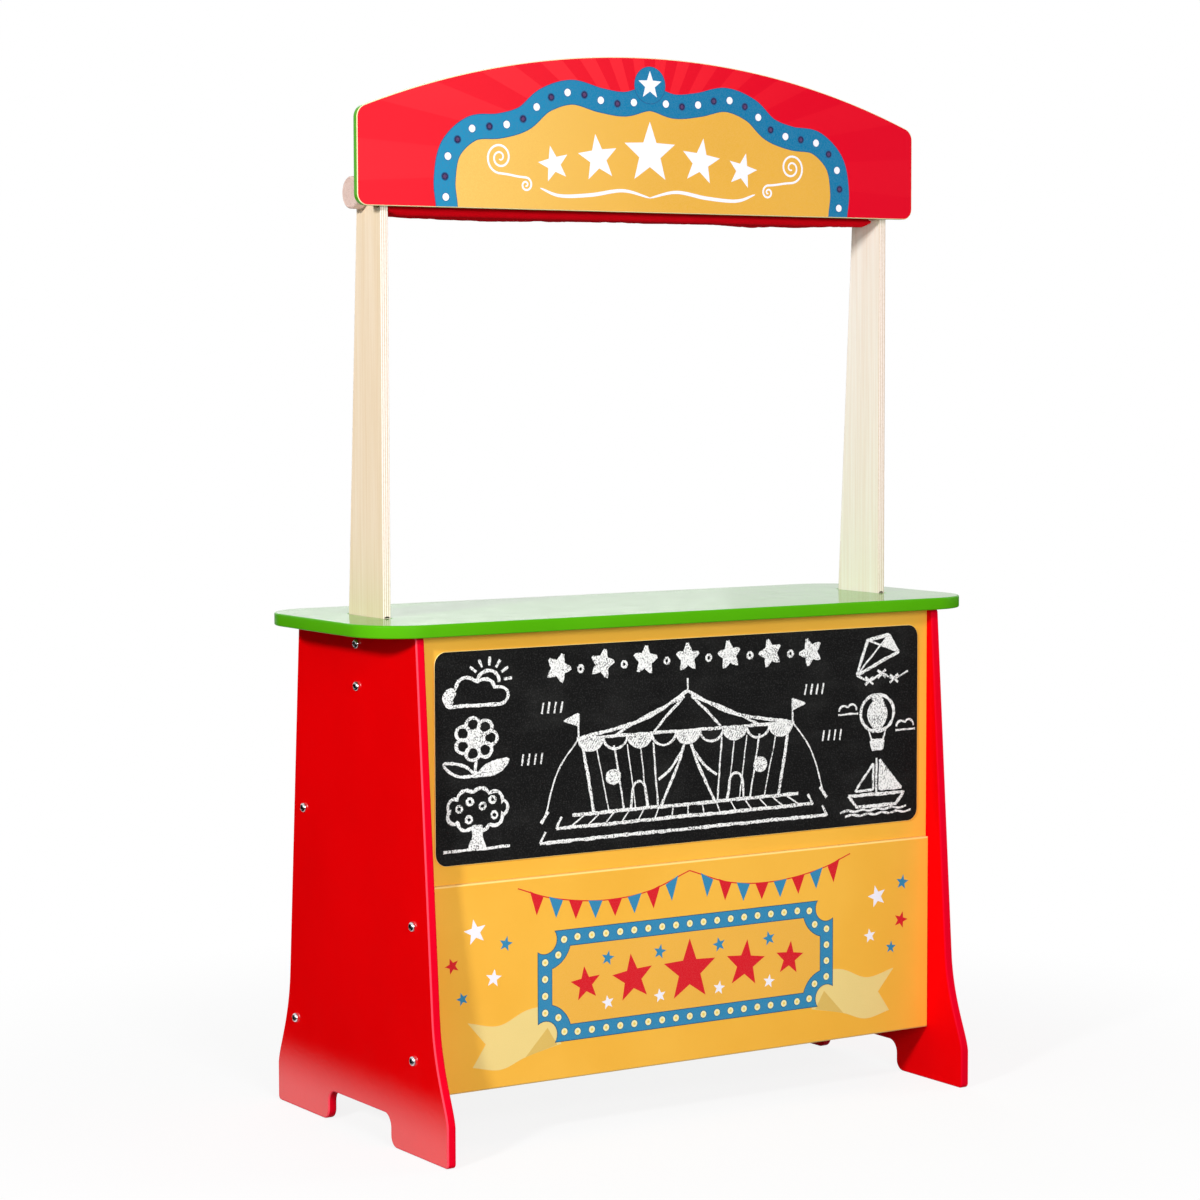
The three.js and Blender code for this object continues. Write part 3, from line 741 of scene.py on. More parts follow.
def spiral(centre: Point, radius: float, turns: float, start: float, hand: int) -> list[Point]:
    """Returns a scroll that winds outwards from its centre.

    Args:
        centre: The scroll's centre.
        radius: Its outer radius.
        turns: How many turns it makes.
        start: The angle in radians at which it ends outside.
        hand: 1 to wind one way and -1 the other.

    Returns:
        The points from the centre out.
    """
    steps = int(26 * turns)
    points = []
    for step in range(steps + 1):
        share = step / steps
        angle = start - hand * (1 - share) * turns * math.tau
        reach = radius * (0.12 + 0.88 * share**1.15)
        points.append((centre[0] + reach * math.cos(angle), centre[1] + reach * math.sin(angle)))
    return points


def mirrored(path: Sequence[Point], side: int) -> list[Point]:
    """Returns a path as it is for side 1, and mirrored in the middle plane for -1."""
    return [(side * x, z) for x, z in path]


def both(place: float) -> tuple[int, ...]:
    """Returns the sides on which something at that distance from the middle is made."""
    return (1, -1) if place else (1,)


def bezier(knots: Sequence[Vector], steps: int) -> list[Vector]:
    """Returns the points of a cubic curve.

    Args:
        knots: Its start, its two handles and its end.
        steps: How many chords it has.

    Returns:
        The points from the start to the end.
    """
    path = []
    for step in range(steps + 1):
        t = step / steps
        spot = knots[0] * (1 - t) ** 3 + knots[1] * 3 * t * (1 - t) ** 2
        spot += knots[2] * 3 * t * t * (1 - t) + knots[3] * t**3
        path.append(spot)
    return path


def bridge(before: Sequence[Point], after: Sequence[Point], pull: float = 0.45) -> list[Point]:
    """Returns the inner points of a smooth curve from one path's end to another's start.

    Args:
        before: The path that ends where the curve starts.
        after: The path that starts where it ends.
        pull: The reach of its tangents, as a share of the gap.

    Returns:
        The points.
    """
    start, end = Vector(before[-1]), Vector(after[0])
    reach = (end - start).length * pull
    leaving = start + (start - Vector(before[-2])).normalized() * reach
    arriving = end - (Vector(after[1]) - end).normalized() * reach
    return [tuple(spot) for spot in bezier([start, leaving, arriving, end], 12)[1:-1]]


# ---- making


class Plane(Enum):
    """How a flat outline and its thickness lie in the stand."""

    FRONT = ((1, 0, 0), (0, 0, 1), (0, -1, 0))
    SIDE = ((0, 1, 0), (0, 0, 1), (1, 0, 0))
    FLAT = ((1, 0, 0), (0, 1, 0), (0, 0, 1))

    def matrix(self, depth: float) -> Matrix:
        """Returns the transform whose thickness axis starts at a place along it."""
        turn = Matrix(self.value).transposed()
        return Matrix.Translation(turn @ Vector((0, 0, depth))) @ turn.to_4x4()

    def span(self, node: str) -> list[float]:
        """Returns where a node starts and ends along the thickness axis."""
        return sorted(sum(a * b for a, b in zip(self.value[2], spot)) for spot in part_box(node))


def add_object(name: str, data: Any) -> bpy.types.Object:
    """Returns a new object of some data, linked to the scene.

    Args:
        name: Its name.
        data: Its mesh, camera or lamp.

    Returns:
        The object.
    """
    made = bpy.data.objects.new(name, data)
    bpy.context.collection.objects.link(made)
    return made


def settle(
    bm: bmesh.types.BMesh, name: str, finishes: Sequence[Finish], sharp: float = 35.0
) -> bpy.types.Object:
    """Makes an object of a finished mesh.

    Args:
        bm: The mesh, which is freed.
        name: The piece's name.
        finishes: The finishes of its material indexes.
        sharp: The angle in degrees past which an edge stays crisp.

    Returns:
        The object.
    """
    limit = math.radians(sharp)
    for face in bm.faces:
        face.smooth = True
    for edge in bm.edges:
        kinds = {face.material_index for face in edge.link_faces}
        edge.smooth = edge.calc_face_angle(math.pi) < limit and len(kinds) == 1
    mesh = bpy.data.meshes.new(name)
    bm.to_mesh(mesh)
    bm.free()
    for finish in finishes:
        mesh.materials.append(finish.material())
    return add_object(name, mesh)


def deliver(
    piece: bpy.types.Object, body: str = "stand", nodes: Sequence[str] = ()
) -> None:
    """Hands a piece to the frame.

    Args:
        piece: The object.
        body: The body that it rides on.
        nodes: The nodes that it stands for.
    """
    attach(piece, body)
    if nodes:
        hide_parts(*nodes)
    log.info("%s: %d faces on %s", piece.name, len(piece.data.polygons), body)


def dress(node: str, finish: Finish) -> None:
    """Gives a node of the frame its finish.

    Args:
        node: The node's name.
        finish: Its finish.
    """
    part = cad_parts[node]
    part.data.materials.clear()
    part.data.materials.append(finish.material())


def chained(items: Sequence[Any], closed: bool = False) -> list[tuple[Any, Any]]:
    """Returns each item with the next one and, if closed, the last with the first."""
    return [*pairwise(items), *([(items[-1], items[0])] if closed else [])]


def add_line(curve: bpy.types.Curve, path: Sequence[Point], widths: Sequence[float] = ()) -> Any:
    """Adds a line of straight stretches to a curve.

    Args:
        curve: The curve.
        path: The line's points.
        widths: Its width at each point, or none for a plain outline.

    Returns:
        The line.
    """
    line = curve.splines.new("POLY")
    line.points.add(len(path) - 1)
    for spot, (x, y), width in zip(line.points, path, widths or [2.0] * len(path)):
        spot.co, spot.radius = (x, y, 0, 1), width / 2
    return line


def mesh_of(curve: bpy.types.Curve) -> bmesh.types.BMesh:
    """Makes a mesh of a curve's shape, with its doubles merged.

    Args:
        curve: The curve, which is removed.

    Returns:
        The mesh.
    """
    holder = add_object(curve.name, curve)
    bpy.context.view_layer.update()
    shape = holder.evaluated_get(bpy.context.evaluated_depsgraph_get())
    mesh = bpy.data.meshes.new_from_object(shape)
    bm = bmesh.new()
    bm.from_mesh(mesh)
    bpy.data.objects.remove(holder)
    bpy.data.curves.remove(curve)
    bpy.data.meshes.remove(mesh)
    bmesh.ops.remove_doubles(bm, verts=bm.verts, dist=WELD)
    bmesh.ops.recalc_face_normals(bm, faces=bm.faces)
    return bm


@dataclass
class Board:
    """A flat piece cut from sheet stock with eased edges, which stands for a node."""

    name: str
    node: str
    plane: Plane
    loops: Sequence[Sequence[Point]]
    ease: float
    face: Finish
    rim: Finish
    arris: Finish | None = None
    back: Finish | None = None

    def side_of(self, tilt: float) -> int:
        """Returns the finish of a face by its tilt: front, front arris, rim or back.

        Args:
            tilt: How far its normal points to the front, from -1 to 1.

        Returns:
            The finish's index.
        """
        if abs(tilt) > 0.99:
            return 0 if tilt > 0 else 3
        return 1 if tilt > 0.2 else 2

    def cut(self) -> None:
        """Cuts the board out of its node's thickness and hands it over.

        The first loop is its outline, and the others are holes.
        """
        start, end = self.plane.span(self.node)
        curve = bpy.data.curves.new(self.name, "CURVE")
        curve.dimensions, curve.fill_mode = "2D", "BOTH"
        curve.extrude = (end - start) / 2 - self.ease
        curve.bevel_depth, curve.bevel_resolution, curve.offset = self.ease, 2, -self.ease
        for loop in self.loops:
            add_line(curve, loop).use_cyclic_u = True
        bm = mesh_of(curve)
        for face in bm.faces:
            face.material_index = self.side_of(face.normal.z)
        bm.transform(self.plane.matrix(start + (end - start) / 2))
        finishes = [self.face, self.arris or self.rim, self.rim, self.back or self.face]
        deliver(settle(bm, self.name, finishes, 40.0), nodes=[self.node])


class Ring(Enum):
    """The shape of a turned piece's ring that isn't round."""

    HEX = "hexagon"
    SLOT = "slot"
    CROSS = "cross"

    def reach(self, radius: float, angle: float) -> float:
        """Returns how far the ring lies from the axis at an angle, where its corners are at radius.

        Args:
            radius: How far its corners lie from the axis.
            angle: The angle in radians.

        Returns:
            The distance.
        """
        wide, narrow = abs(math.cos(angle)) + WELD, abs(math.sin(angle)) + WELD
        if self is Ring.HEX:
            sixth = math.tau / 6
            return radius * math.cos(sixth / 2) / math.cos(angle % sixth - sixth / 2)
        slot = min(radius / wide, radius * 0.16 / narrow)
        if self is Ring.SLOT:
            return slot
        return max(slot, min(radius * 0.16 / wide, radius / narrow))


@dataclass
class Turned:
    """A piece turned from (radius, height) steps, some of which name the shape of their ring."""

    name: str
    profile: Sequence[tuple[float, float] | tuple[float, float, Ring]]
    start: Vector
    axis: Vector
    finish: Finish
    steps: int = 48
    closed: bool = False
    recess: float = 0.0

    def spin(self, node: str, body: str = "stand") -> None:
        """Spins the profile, draws its hexagons and slots in, and hands the piece over.

        Args:
            node: The node that it stands for.
            body: The body that it rides on.
        """
        bm = bmesh.new()
        spots = [bm.verts.new((step[0], 0, step[1])) for step in self.profile]
        line = [bm.edges.new(pair) for pair in chained(spots, self.closed)]
        bmesh.ops.spin(
            bm, geom=[*spots, *line], cent=(0, 0, 0), axis=(0, 0, 1), angle=math.tau,
            steps=self.steps, use_merge=True, use_duplicate=False,
        )
        bmesh.ops.remove_doubles(bm, verts=bm.verts, dist=WELD)
        for radius, height, ring in (step for step in self.profile if len(step) > 2):
            for vert in bm.verts:
                flat = vert.co.xy
                if abs(flat.length - radius) < WELD and abs(vert.co.z - height) < WELD:
                    flat *= ring.reach(radius, math.atan2(flat.y, flat.x)) / radius
                    vert.co.xy = flat
        bmesh.ops.recalc_face_normals(bm, faces=bm.faces)
        # faces inside the recess radius and sunk below the head get the darker steel: painted shade
        # in the socket
        for face in bm.faces if self.recess else ():
            spots = [vert.co for vert in face.verts]
            sunk = max(spot.z for spot in spots) < 2 * self.recess
            inside = max(spot.xy.length for spot in spots) < self.recess + WELD
            face.material_index = int(sunk and inside)
        turn = self.axis.to_track_quat("Z", "Y").to_matrix().to_4x4()
        bm.transform(Matrix.Translation(self.start) @ turn)
        finishes = [self.finish, SOCKET_SHADE] if self.recess else [self.finish]
        deliver(settle(bm, self.name, finishes, 30.0), body, [node])


@dataclass
class Print:
    """Something laid on a board's front: its name, the front's place, its layer and its ink."""

    name: str
    face: float
    layer: int
    ink: Finish
    thickness: ClassVar[float] = 0.00006

    def hand_over(self, bm: bmesh.types.BMesh, sharp: float) -> None:
        """Lays a flat mesh on top of the layers below it, and hands it over."""
        bm.transform(Plane.FRONT.matrix(-self.face + (self.layer - 1) * self.thickness))
        deliver(settle(bm, self.name, [self.ink], sharp))


@dataclass
class Film(Print):
    """Printed shapes of one ink, as one thin closed film."""

    bm: bmesh.types.BMesh = field(default_factory=bmesh.new)

    def disc(self, spot: Point, radius: float, steps: int = 28) -> None:
        """Adds a disc."""
        place = Matrix.Translation((*spot, 0))
        bmesh.ops.create_circle(self.bm, cap_ends=True, segments=steps, radius=radius, matrix=place)

    def star(self, spot: Point, radius: float, turn: float = 0.0, waist: float = 0.42) -> None:
        """Adds a five-pointed star, turned by an angle in degrees from upright.

        Args:
            spot: Its middle.
            radius: How far its points reach.
            turn: The angle.
            waist: Its inner radius, as a share of the outer one.
        """
        place = Matrix.Translation((*spot, 0)) @ Matrix.Rotation(math.radians(turn), 4, "Z")
        made = bmesh.ops.create_circle(
            self.bm, cap_ends=True, segments=10, radius=radius, matrix=place
        )
        inner = made["verts"][1::2]
        bmesh.ops.scale(self.bm, vec=(waist,) * 3, space=place.inverted(), verts=inner)

    def patch(self, outline: Sequence[Point]) -> None:
        """Adds a filled outline."""
        self.bm.faces.new([self.bm.verts.new((x, z, 0)) for x, z in outline])

    def strip(self, left: Sequence[Point], right: Sequence[Point], closed: bool = False) -> None:
        """Adds the band between two lines of as many points.

        Args:
            left: The first line.
            right: The second line.
            closed: Whether the band is a ring.
        """
        edges = []
        for line in (left, right):
            spots = [self.bm.verts.new((x, z, 0)) for x, z in line]
            edges += [self.bm.edges.new(pair) for pair in chained(spots, closed)]
        bmesh.ops.bridge_loops(self.bm, edges=edges)

    def lay(self) -> None:
        """Thickens the film and hands it over."""
        bm = self.bm
        grown = bmesh.ops.extrude_face_region(bm, geom=bm.faces[:])["geom"]
        tops = [part for part in grown if isinstance(part, bmesh.types.BMVert)]
        bmesh.ops.translate(bm, verts=tops, vec=(0, 0, self.thickness))
        bmesh.ops.recalc_face_normals(bm, faces=bm.faces)
        self.hand_over(bm, 35.0)


def layers(
    print_name: str, face: float, palette: dict[str, Ink], rows: Sequence[tuple[str, int, str]]
) -> dict[str, Film]:
    """Opens the films of a print.

    Args:
        print_name: The word before each film's name.
        face: The place of the board's front.
        palette: The print's inks.
        rows: Each film's name, layer and ink.

    Returns:
        The films by name.
    """
    return {
        name: Film(f"{print_name}_{name}", face, layer, palette[ink]) for name, layer, ink in rows
    }


@dataclass
class Linework(Print):
    """Drawn lines, each a flattened round stroke."""

    flat: float = 0.08
    lines: list[tuple[list[Point], list[float]]] = field(default_factory=list)

    def line(self, path: Sequence[Point], widths: Sequence[float]) -> None:
        """Adds a stroke with a width at each point."""
        self.lines.append((list(path), list(widths)))

    def tapered(self, path: Sequence[Point], width: float, tip: float = 0.45) -> None:
        """Adds a stroke that is fullest in its middle and has narrow ends.

        Args:
            path: Its points.
            width: Its width in the middle.
            tip: Its width at the ends, as a share of that.
        """
        last = len(path) - 1
        shares = [math.sin(math.pi * i / last) ** 0.5 for i in range(last + 1)]
        self.line(path, [width * (tip + (1 - tip) * share) for share in shares])

    def lay(self) -> None:
        """Makes all strokes one flattened mesh, and hands it over."""
        curve = bpy.data.curves.new(self.name, "CURVE")
        curve.dimensions, curve.bevel_depth, curve.bevel_resolution = "3D", 1.0, 1
        curve.use_fill_caps = True
        for path, widths in self.lines:
            add_line(curve, path, widths)
        bm = mesh_of(curve)
        bmesh.ops.scale(bm, vec=(1, 1, self.flat), verts=bm.verts)
        self.hand_over(bm, 60.0)


def mark_cloth(bm: bmesh.types.BMesh, places: dict[bmesh.types.BMVert, Point]) -> None:
    """Notes on a mesh where each of its points lies on the cut cloth.

    Args:
        bm: The mesh.
        places: Each point's place on the cut.
    """
    cut = bm.loops.layers.uv.new("cloth")
    for face in bm.faces:
        for loop in face.loops:
            loop[cut].uv = places[loop.vert]


def woven(
    name: str, across: int, along: int, cloth: float,
    place: Callable[[float, float], tuple[Vector, Point]],
) -> bpy.types.Object:
    """Makes a sheet of velvet.

    Args:
        name: The sheet's name.
        across: How many cells it has over its width.
        along: How many it has over its length.
        cloth: Its thickness.
        place: Turns shares of its width and length, from -0.5 to 0.5, into a place in the stand
            and one on the cut.

    Returns:
        The sheet's object.
    """
    bm = bmesh.new()
    bmesh.ops.create_grid(bm, x_segments=across, y_segments=along, size=0.5)
    places = {}
    for vert in bm.verts:
        vert.co, places[vert] = place(vert.co.x, vert.co.y)
    mark_cloth(bm, places)
    piece = settle(bm, name, [VELVET], 80.0)
    wall = piece.modifiers.new("cloth_thickness", "SOLIDIFY")
    wall.thickness, wall.offset = cloth, 0.0
    return piece


# ---- the stand's own pieces


@dataclass
class SidePanels:
    """The two flared side panels."""

    top_half: float = 0.130
    waist_half: float = 0.159
    foot_half: float = 0.1895
    waist_height: float = 0.150
    foot_height: float = 0.042
    leave_shares: Point = (0.13, 0.51)
    arrive_shares: Point = (0.92, 0.81)
    arch_half: float = 0.0695
    arch_height: float = 0.0335
    arch_radius: float = 0.014
    toe_radius: float = 0.012
    heel_radius: float = 0.005
    top_radius: float = 0.004
    ease: float = 0.0015
    # width and border of the painted highlight along the outer arris of the front edge
    arris_highlight: float = 0.0017
    arris_highlight_border: float = 0.0006
    flare_steps: int = 28

    def outline(self) -> list[Point]:
        """Returns the outline in Y and Z.

        Returns:
            The points.
        """
        wide, tall = self.foot_half - self.waist_half, self.foot_height - self.waist_height
        shares = ((1.0, 1.0), self.arrive_shares, self.leave_shares, (0.0, 0.0))
        waist = Vector((self.waist_half, self.waist_height))
        knots = [waist + Vector((wide * a, tall * b)) for a, b in shares]
        half = [
            (self.arch_half, self.arch_height, self.arch_radius),
            (self.arch_half, 0, self.toe_radius),
            (self.foot_half, 0, self.heel_radius),
            *((*spot, 0) for spot in bezier(knots, self.flare_steps)),
            (self.top_half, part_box("left_side_panel")[1].z, self.top_radius),
        ]
        return rounded(half + [(-y, z, radius) for y, z, radius in reversed(half)])

    def build(self) -> None:
        """Cuts both panels."""
        for name, side in SIDES.items():
            node = f"{name}_side_panel"
            outer = max(abs(corner.x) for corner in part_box(node))
            # painted highlight: the rim pales to pink near the outer face
            rim = EdgedLacquer(
                "red_side_rim", "red_lacquer", srgb(232, 3, 36), srgb(222, 2, 30), 0.3, 0.02,
                edge=srgb(255, 74, 92), axis="X", start=outer - self.arris_highlight, border=self.arris_highlight_border,
            )
            face, back = (RED_INNER, RED_OUTER)[::-side]
            loops = [self.outline()]
            Board(
                f"{name}_side_board", node, Plane.SIDE, loops, self.ease, face, rim, back=back
            ).cut()


@dataclass
class Counter:
    """The counter with a slot round each post."""

    corner: float = 0.060
    ease: float = 0.0015
    clearance: float = 0.0004

    def build(self) -> None:
        """Cuts the counter and its slots."""
        low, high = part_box("counter_top")
        loops = [rectangle(low.x, high.x, low.y, high.y, self.corner)]
        posts = Posts()
        front, back = posts.front - self.clearance, posts.back_at(high.z) + self.clearance
        for name in SIDES:
            start, end = Plane.SIDE.span(f"{name}_post")
            middle, half = (start + end) / 2, (end - start) / 2 + self.clearance
            ends = arc((middle, front), half, math.pi, math.tau, 16)
            loops.append(ends + arc((middle, back), half, 0, math.pi, 16))
        Board(
            "counter_board", "counter_top", Plane.FLAT, loops, self.ease, GREEN_TOP, GREEN_EDGE,
            back=GREEN_EDGE,
        ).cut()


@dataclass
class Posts:
    """The two tapering plywood posts."""

    front: float = -0.0432
    bottom_width: float = 0.082
    top_width: float = 0.0475
    corner: float = 0.004
    foot_corner: float = 0.0009
    ease: float = 0.0007
    plies: int = 7
    bore_play: float = 0.0003
    # size of the dark half-disc painted at each post's front foot as shadow
    relief: float = 0.0031
    shadow_rise: float = 0.6

    def back_at(self, height: float) -> float:
        """Returns the Y of a post's back edge at a height.

        Args:
            height: The height.

        Returns:
            The edge's Y.
        """
        low, high = Plane.FLAT.span("left_post")
        share = (height - low) / (high - low)
        return self.front + self.bottom_width + (self.top_width - self.bottom_width) * share

    def bore(self) -> list[Point]:
        """Returns the roller's hole.

        Returns:
            Its outline in Y and Z.
        """
        low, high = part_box("curtain_roller")
        centre = ((low.y + high.y) / 2, (low.z + high.z) / 2)
        return arc(centre, (high.z - low.z) / 2 + self.bore_play, 0, math.tau, 40)[:-1]

    def build(self) -> None:
        """Cuts both posts, with their layered edges and a painted shadow at their foot."""
        for name in SIDES:
            node = f"{name}_post"
            foot, top = Plane.FLAT.span(node)
            start, end = Plane.SIDE.span(node)
            outline = rounded(
                [
                    (self.front, foot, self.foot_corner),
                    (self.front + self.bottom_width, foot, self.foot_corner),
                    (self.front + self.top_width, top, self.corner),
                    (self.front, top, self.corner),
                ]
            )
            edge = PlyEdge(
                "post_ply_edge", BIRCH.slot, srgb(249, 236, 227), srgb(204, 176, 144), "X",
                min(abs(start), abs(end)), (end - start) / self.plies,
            )
            # the left post gets the darker birch copy: painted shade
            face = BIRCH_SHADED if name == "left" else BIRCH
            loops = [outline, self.bore()]
            Board(f"{node}_board", node, Plane.SIDE, loops, self.ease, face, edge).cut()
            # painted shadow: a dark half-disc on the post's front just above the counter
            foot_shadow = Film(f"{node}_relief", self.front, 1, FOOT_SHADOW_INK)
            middle, floor = (start + end) / 2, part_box("counter_top")[1].z
            bow = arc((0.0, 0.0), self.relief, 0, math.pi, 16)
            foot_shadow.patch([(middle + x, floor + z * self.shadow_rise) for x, z in bow])
            foot_shadow.lay()


@dataclass
class Sign:
    """The arched sign board: red printed front, cream edge line, green edge and back."""

    lower_corner: float = 0.012
    upper_corner: float = 0.014
    side_height: float = 0.0997
    ease: float = 0.0008
    arch_steps: int = 72

    def outline(self) -> list[Point]:
        """Returns the outline in X and Z.

        Returns:
            The points.
        """
        low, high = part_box("header_board")
        half, shoulder = high.x, low.z + self.side_height
        rise = high.z - low.z - self.side_height
        radius = (half**2 + rise**2) / (2 * rise)
        spread, quarter = math.asin(half / radius), math.pi / 2
        centre = (0.0, high.z - radius)
        arch = arc(centre, radius, quarter - spread, quarter + spread, self.arch_steps)[1:-1]
        corners = [
            (-half, low.z, self.lower_corner),
            (half, low.z, self.lower_corner),
            (half, shoulder, self.upper_corner),
            *((x, z, 0) for x, z in arch),
            (-half, shoulder, self.upper_corner),
        ]
        return rounded(corners)

    def build(self) -> None:
        """Cuts the sign board."""
        Board(
            "sign_board", "header_board", Plane.FRONT, [self.outline()], self.ease,
            SIGN_RED, SIGN_GREEN, SIGN_CREAM, SIGN_GREEN,
        ).cut()


@dataclass
class SignPrint:
    """The printed ornament of the sign: a bulb-lit border, stars and scrolls."""

    half_path: Sequence[Point] = (
        (0.2550, 0.98385), (0.2575, 1.0120), (0.2500, 1.0440), (0.2240, 1.0660), (0.1900, 1.0700),
        (0.1600, 1.0790), (0.1340, 1.0990), (0.1000, 1.1090), (0.0640, 1.1020), (0.0320, 1.0990),
        (0.0, 1.1060),
    )
    band: float = 0.0250
    line: float = 0.0008
    bulb: float = 0.0040
    bulb_rim: float = 0.0006
    bulb_spacing: float = 0.0215
    medal: float = 0.0195
    medal_place: Point = (0.0, 1.1205)
    star_row: Sequence[tuple[float, float, float, float]] = (
        (0.0, 1.0470, 0.0345, 0), (0.0670, 1.0400, 0.0260, -8), (0.1230, 1.0320, 0.0200, -14),
    )
    wave: Sequence[Point] = (
        (0.0, 0.9990), (0.0350, 1.0060), (0.0750, 1.0005), (0.1150, 0.9985), (0.1400, 1.0060),
    )

    def build(self) -> None:
        """Prints all layers."""
        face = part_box("header_board")[0].y
        films = layers("sign", face, SIGN_INKS, (
            ("yellow_field", 1, "yellow"), ("border_line", 2, "deep_blue"), ("border", 3, "blue"),
            ("bulb_rims", 4, "deep_blue"), ("medal", 5, "blue"), ("white_bulbs", 5, "white"),
            ("navy_bulbs", 5, "navy"), ("bulb_hearts", 6, "plum"), ("medal_star", 6, "white"),
            ("stars", 2, "white"),
        ))
        path = smooth_path([*self.half_path, *mirrored(self.half_path[-2::-1], -1)], 12)
        half, outer = self.band / 2, self.band / 2 + self.line
        films["yellow_field"].patch(offset_path(path, half))
        films["border_line"].strip(offset_path(path, outer), offset_path(path, -outer))
        films["border"].strip(offset_path(path, half), offset_path(path, -half))
        films["bulb_rims"].disc(self.medal_place, self.medal + self.line, 56)
        films["medal"].disc(self.medal_place, self.medal, 56)
        films["medal_star"].star(self.medal_place, self.medal * 0.8)
        for i, spot in enumerate(spaced(path, self.bulb_spacing, 0.010)):
            if math.dist(spot, self.medal_place) < self.medal + self.bulb:
                continue
            films["bulb_rims"].disc(spot, self.bulb + self.bulb_rim)
            if i % 2:
                films["navy_bulbs"].disc(spot, self.bulb * 0.92)
                films["bulb_hearts"].disc(spot, self.bulb * 0.5, 16)
            else:
                films["white_bulbs"].disc(spot, self.bulb)
        for x, z, radius, turn in self.star_row:
            for side in both(x):
                films["stars"].star((side * x, z), radius, side * turn)
        for film in films.values():
            film.lay()
        self.scrolls(face)

    def scrolls(self, face: float) -> None:
        """Prints a scroll at each end of the field and a flourish under the stars.

        Args:
            face: The place of the sign's front.
        """
        lines = Linework("sign_scrolls", face, 2, SIGN_INKS["white"], 0.05)
        big = spiral((0.1900, 1.0370), 0.0170, 2.1, -1.7, -1)
        small = spiral((0.1580, 1.0090), 0.0080, 1.6, 1.4, -1)[::-1]
        scroll = [*big, *bridge(big, small), *small]
        for side in (1, -1):
            lines.tapered(mirrored(scroll, side), 0.0024, 0.6)
            lines.tapered(mirrored(smooth_path(self.wave), side), 0.0040, 0.25)
        lines.lay()


@dataclass
class FrontPanels:
    """The yellow front panels and the chalkboard on the upper one."""

    corner: float = 0.014
    ease: float = 0.0005

    def build(self) -> None:
        """Dresses the panels and cuts the chalkboard."""
        for name in ("upper_front_panel", "lower_front_panel"):
            finish = EdgedLacquer(
                f"{name}_lacquer", "yellow_lacquer", srgb(246, 187, 72), srgb(241, 179, 63), 0.42,
                edge=srgb(250, 214, 132), start=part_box(name)[0].y,
            )
            dress(name, finish)
        low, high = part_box("chalkboard")
        outline = rectangle(low.x, high.x, low.z, high.z, self.corner)
        Board(
            "chalkboard_panel", "chalkboard", Plane.FRONT, [outline], self.ease,
            SLATE, SLATE_RIM, SLATE_RIM, SLATE,
        ).cut()


